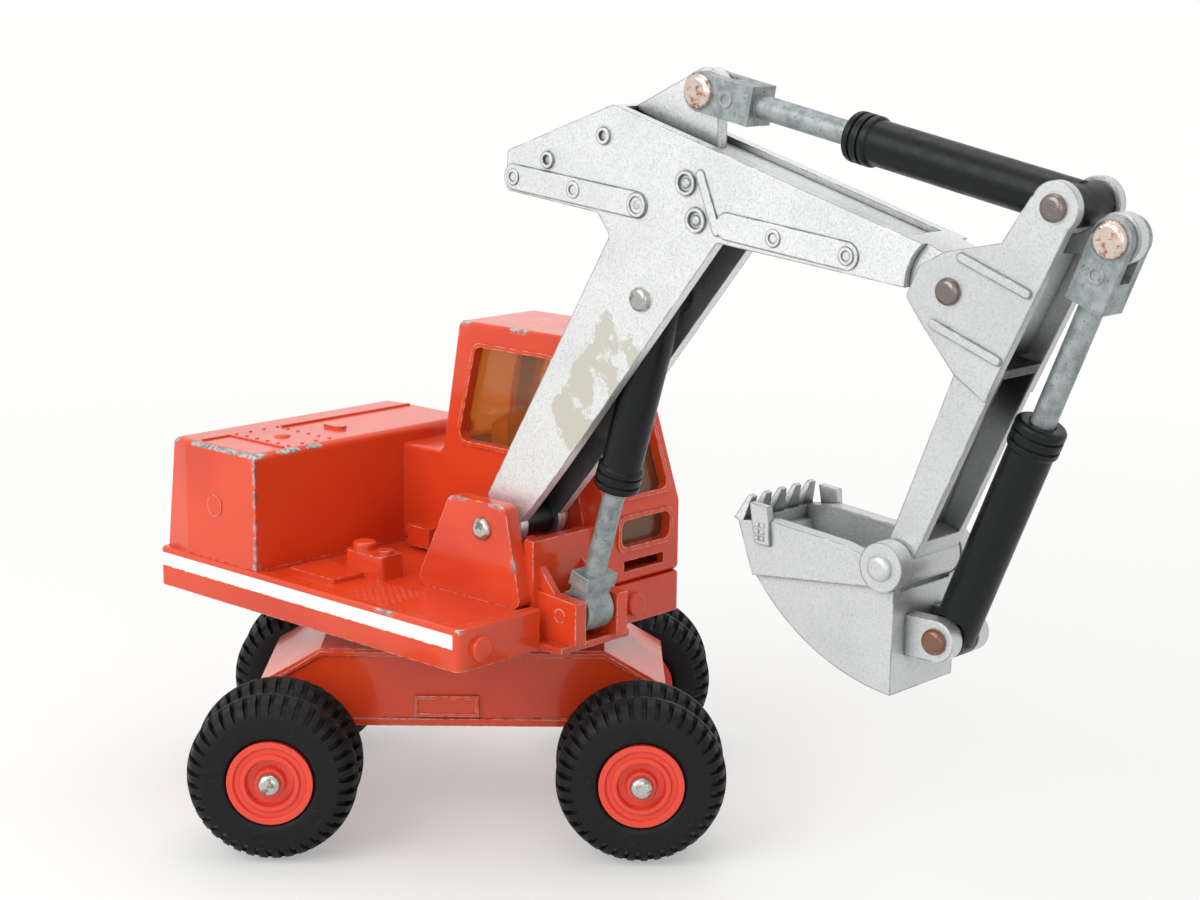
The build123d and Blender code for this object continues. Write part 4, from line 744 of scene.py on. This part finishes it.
def tyre_pair(corner_name):
    low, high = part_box("tyres_" + corner_name)
    radius = (high.z - low.z) / 2
    centre = (low + high) / 2
    vertices, faces = [], []
    for across in (low.y + TYRE_W / 2, high.y - TYRE_W / 2):
        more, rings = tyre(Vector((centre.x, across, centre.z)), radius, random.uniform(0, 1))
        start = len(vertices)
        vertices += more
        faces += [tuple(start + k for k in face) for face in rings]
    obj = piece("tyre_pair_" + corner_name, vertices, faces, "tyre_rubber", "wheel_" + corner_name)
    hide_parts("tyres_" + corner_name)


for corner_name in CORNERS:
    tyre_pair(corner_name)


# Mould marks on the outer walls of the tyres


def add_ring(vertices, faces, at, face, out):
    """A low round bead on a tyre wall."""
    start = len(vertices)
    rows = len(MARK_SECTION)
    for step in range(MARK_STEPS):
        turn = 2 * math.pi * step / MARK_STEPS
        for radius, rise in MARK_SECTION:
            across = face + out * rise * MARK_RISE
            vertices.append((at.x + radius * math.cos(turn), across, at.z + radius * math.sin(turn)))
    for step in range(MARK_STEPS):
        after = (step + 1) % MARK_STEPS
        for row in range(rows - 1):
            a, b = start + rows * step + row, start + rows * after + row
            faces.append((a, b, b + 1, a + 1))


def tyre_marks(corner_name):
    low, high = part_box("tyres_" + corner_name)
    centre = (low + high) / 2
    out = -1 if corner_name.startswith("right") else 1
    face = low.y if out < 0 else high.y
    vertices, faces = [], []
    for clock in MARK_CLOCK:
        at = Vector((centre.x + MARK_AT * math.sin(clock), 0, centre.z + MARK_AT * math.cos(clock)))
        add_ring(vertices, faces, at, face, out)
    piece("tyre_marks_" + corner_name, vertices, faces, "tyre_rubber", "wheel_" + corner_name, sharp=MARK_SHARP)


for corner_name in CORNERS:
    tyre_marks(corner_name)


# Small trim of the house and the arm


def on_top(level):
    """Places on a level face of the house, from ahead, left and rise."""
    return lambda ahead, left, rise: spot(ahead, left, level + rise)


def on_side(hand, out):
    """Places on a side face of the arm, from ahead, up and rise; hand is -1 on the right."""
    return lambda ahead, up, rise: spot(ahead, hand * (out + rise), up)


def add_block(vertices, faces, corners):
    """Sides and top of a raised block, from three levels of four corners each."""
    start = len(vertices)
    vertices += corners
    for level in (start, start + 4):
        for k in range(4):
            after = (k + 1) % 4
            faces.append((level + k, level + after, level + 4 + after, level + 4 + k))
    faces.append(tuple(start + 8 + k for k in range(4)))


def add_slab(vertices, faces, ahead, left, up, ease):
    """A raised plate with eased upper edges, from low and high limits."""
    corners = []
    for z, inset in ((up[0], 0.0), (up[1] - ease, 0.0), (up[1], ease)):
        back, front = ahead[0] + inset, ahead[1] - inset
        right, far = left[0] + inset, left[1] - inset
        corners += [spot(back, right, z), spot(front, right, z), spot(front, far, z), spot(back, far, z)]
    add_block(vertices, faces, corners)


def add_dome(vertices, faces, face, a, b, radius, height, steps=14):
    """A low dome on a face, at a place of that face."""
    start = len(vertices)
    for share, rise in DOME_RINGS:
        reach = radius * share
        for k in range(steps):
            turn = 2 * math.pi * k / steps
            vertices.append(face(a + reach * math.cos(turn), b + reach * math.sin(turn), height * rise))
    last = start + (len(DOME_RINGS) - 1) * steps
    for ring in range(start, last, steps):
        for k in range(steps):
            after = (k + 1) % steps
            faces.append((ring + k, ring + after, ring + steps + after, ring + steps + k))
    faces.append(tuple(last + k for k in range(steps)))


def housing_trim():
    """Two rows of dots with their ends closed, a round boss, a rib and panel lines."""
    vertices, faces = [], []
    top = on_top(HOUSING_TOP)
    for k in range(DOTS):
        for v in DOT_ROWS:
            add_dome(vertices, faces, top, DOT_FROM + k * DOT_STEP, v, DOT_R, DOT_RISE)
    for u in (DOT_FROM, DOT_FROM + (DOTS - 1) * DOT_STEP):
        for share in (1 / 3, 2 / 3):
            v = DOT_ROWS[0] + share * (DOT_ROWS[1] - DOT_ROWS[0])
            add_dome(vertices, faces, top, u, v, DOT_R, DOT_RISE)
    add_dome(vertices, faces, top, *TOP_BOSS_AT, TOP_BOSS_R, TOP_BOSS_RISE, steps=28)
    for ahead, left, rise in TOP_STRIPS:
        add_slab(vertices, faces, ahead, left, (HOUSING_TOP - STRIP_SUNK, HOUSING_TOP + rise), STRIP_EASE)
    piece("housing_trim", vertices, faces, "red_paint", "house", SMOOTH_RED)


def deck_tread():
    """Fine short ridges on the deck ahead of the tool box."""
    vertices, faces = [], []
    for row in range(TREAD_ROWS):
        for k in range(TREAD_RIDGES):
            u = TREAD_FROM[0] + TREAD_STEP[0] * k + (TREAD_SHIFT if row % 2 else 0.0)
            v = TREAD_FROM[1] + TREAD_STEP[1] * row
            add_slab(vertices, faces, (u, u + RIDGE_LENGTH), (v, v + RIDGE_WIDTH),
                     (DECK - RIDGE_SUNK, DECK + RIDGE_RISE), RIDGE_EASE)
    piece("deck_tread", vertices, faces, "red_paint", "house", SMOOTH_RED)


def boom_buttons():
    """Domes inside the three large rings on each side of the boom."""
    vertices, faces = [], []
    for hand in (-1, 1):
        for ahead, up in BOOM_BUTTONS:
            add_dome(vertices, faces, on_side(hand, BOOM_FACE), ahead, up, BUTTON_R, BUTTON_RISE, steps=24)
    piece("boom_buttons", vertices, faces, "silver_paint", "boom")


def cutter_studs():
    """Two columns of small square studs on each side cutter of the bucket."""
    vertices, faces = [], []
    for hand in (-1, 1):
        face = on_side(hand, CUTTER_FACE)
        for column in range(STUD_COLUMNS):
            for row in range(STUD_ROWS):
                a = STUD_AT[0] + STUD_STEP * column
                b = STUD_AT[1] + STUD_STEP * row
                corners = []
                for half, rise in STUD_LEVELS:
                    for da, db in ((-half, -half), (half, -half), (half, half), (-half, half)):
                        corners.append(face(a + da, b + db, rise))
                add_block(vertices, faces, corners)
    piece("cutter_studs", vertices, faces, "silver_paint", "bucket")


def seat():
    """Driver's seat, moulded with the tinted glazing."""
    vertices, faces = [], []
    for ahead, (low, high), ease in SEAT_SLABS:
        add_slab(vertices, faces, ahead, SEAT_ACROSS, (DECK + low, DECK + high), ease)
    piece("seat", vertices, faces, "amber_glazing", "house", SEAT_LOOK)


housing_trim()
deck_tread()
boom_buttons()
cutter_studs()
seat()


# Floor, light and camera


def floor_white():
    """White floor that also glows where it is seen, so that it meets the background."""
    look = Shader("floor_white", FLOOR_WHITE, 0.5)
    glow = look.node("ShaderNodeEmission")
    glow.inputs["Color"].default_value = (*STUDIO_WHITE, 1)
    away = look.node("ShaderNodeVectorMath", operation="LENGTH")
    look.link(look.coords.outputs["Object"], away.inputs[0])
    fade = look.ramp(away.outputs["Value"], GLOW_FROM, GLOW_FULL, GLOW_LEAST, 1.0)
    blend = look.node("ShaderNodeMixShader")
    look.link(look.times(fade, look.seen()), blend.inputs[0])
    look.link(look.bsdf.outputs[0], blend.inputs[1])
    look.link(glow.outputs[0], blend.inputs[2])
    look.link(blend.outputs[0], look.tree.nodes["Material Output"].inputs["Surface"])
    return look.material


floor_mesh = bpy.data.meshes.new("floor")
floor_corners = [(x * FLOOR_SPREAD, y * FLOOR_SPREAD, 0) for x, y in ((-1, -1), (1, -1), (1, 1), (-1, 1))]
floor_mesh.from_pydata(floor_corners, [], [(0, 1, 2, 3)])
floor_mesh.materials.append(floor_white())
floor = bpy.data.objects.new("floor", floor_mesh)
bpy.context.collection.objects.link(floor)

world = bpy.data.worlds.new("studio")
bpy.context.scene.world = world
world.use_nodes = True
sky = Nodes(world.node_tree)
background = sky.tree.nodes["Background"]
background.inputs["Color"].default_value = (*STUDIO_WHITE, 1)
toward = sky.dot(sky.coords.outputs["Generated"], STUDIO_TOWARD)
strength = sky.node("ShaderNodeMix")
sky.link(sky.seen(), strength.inputs[0])
sky.link(sky.ramp(toward, *STUDIO_SPAN, *STUDIO_LEVELS), strength.inputs[2])
strength.inputs[3].default_value = 1.0
sky.link(strength.outputs[0], background.inputs["Strength"])

for name, (place, size, power) in LAMPS.items():
    lamp_data = bpy.data.lights.new(name, "AREA")
    lamp_data.shape = "DISK"
    lamp_data.size = size
    lamp_data.energy = power
    lamp = bpy.data.objects.new(name, lamp_data)
    lamp.location = place
    lamp.rotation_euler = (Vector(LAMP_AIM) - Vector(place)).to_track_quat("-Z", "Y").to_euler()
    bpy.context.collection.objects.link(lamp)

camera_data = bpy.data.cameras.new("camera")
camera_data.sensor_width = CAMERA_SENSOR
camera_data.lens = CAMERA_LENS
camera_data.clip_start = CAMERA_CLIP
camera = bpy.data.objects.new("camera", camera_data)
level_ahead = Vector((-math.sin(CAMERA_YAW), math.cos(CAMERA_YAW), 0))
level_right = Vector((math.cos(CAMERA_YAW), math.sin(CAMERA_YAW), 0))
look_along = level_ahead * math.cos(CAMERA_PITCH) + UP * math.sin(CAMERA_PITCH)
level_up = level_right.cross(look_along)
right = level_right * math.cos(CAMERA_ROLL) + level_up * math.sin(CAMERA_ROLL)
up = level_up * math.cos(CAMERA_ROLL) - level_right * math.sin(CAMERA_ROLL)
turn = Matrix((right, up, -look_along)).transposed().to_4x4()
camera.matrix_world = Matrix.Translation(SLEW_FOOT + Vector(CAMERA_FROM_SLEW)) @ turn
bpy.context.collection.objects.link(camera)
bpy.context.scene.camera = camera
bpy.context.scene.view_settings.view_transform = "Standard"
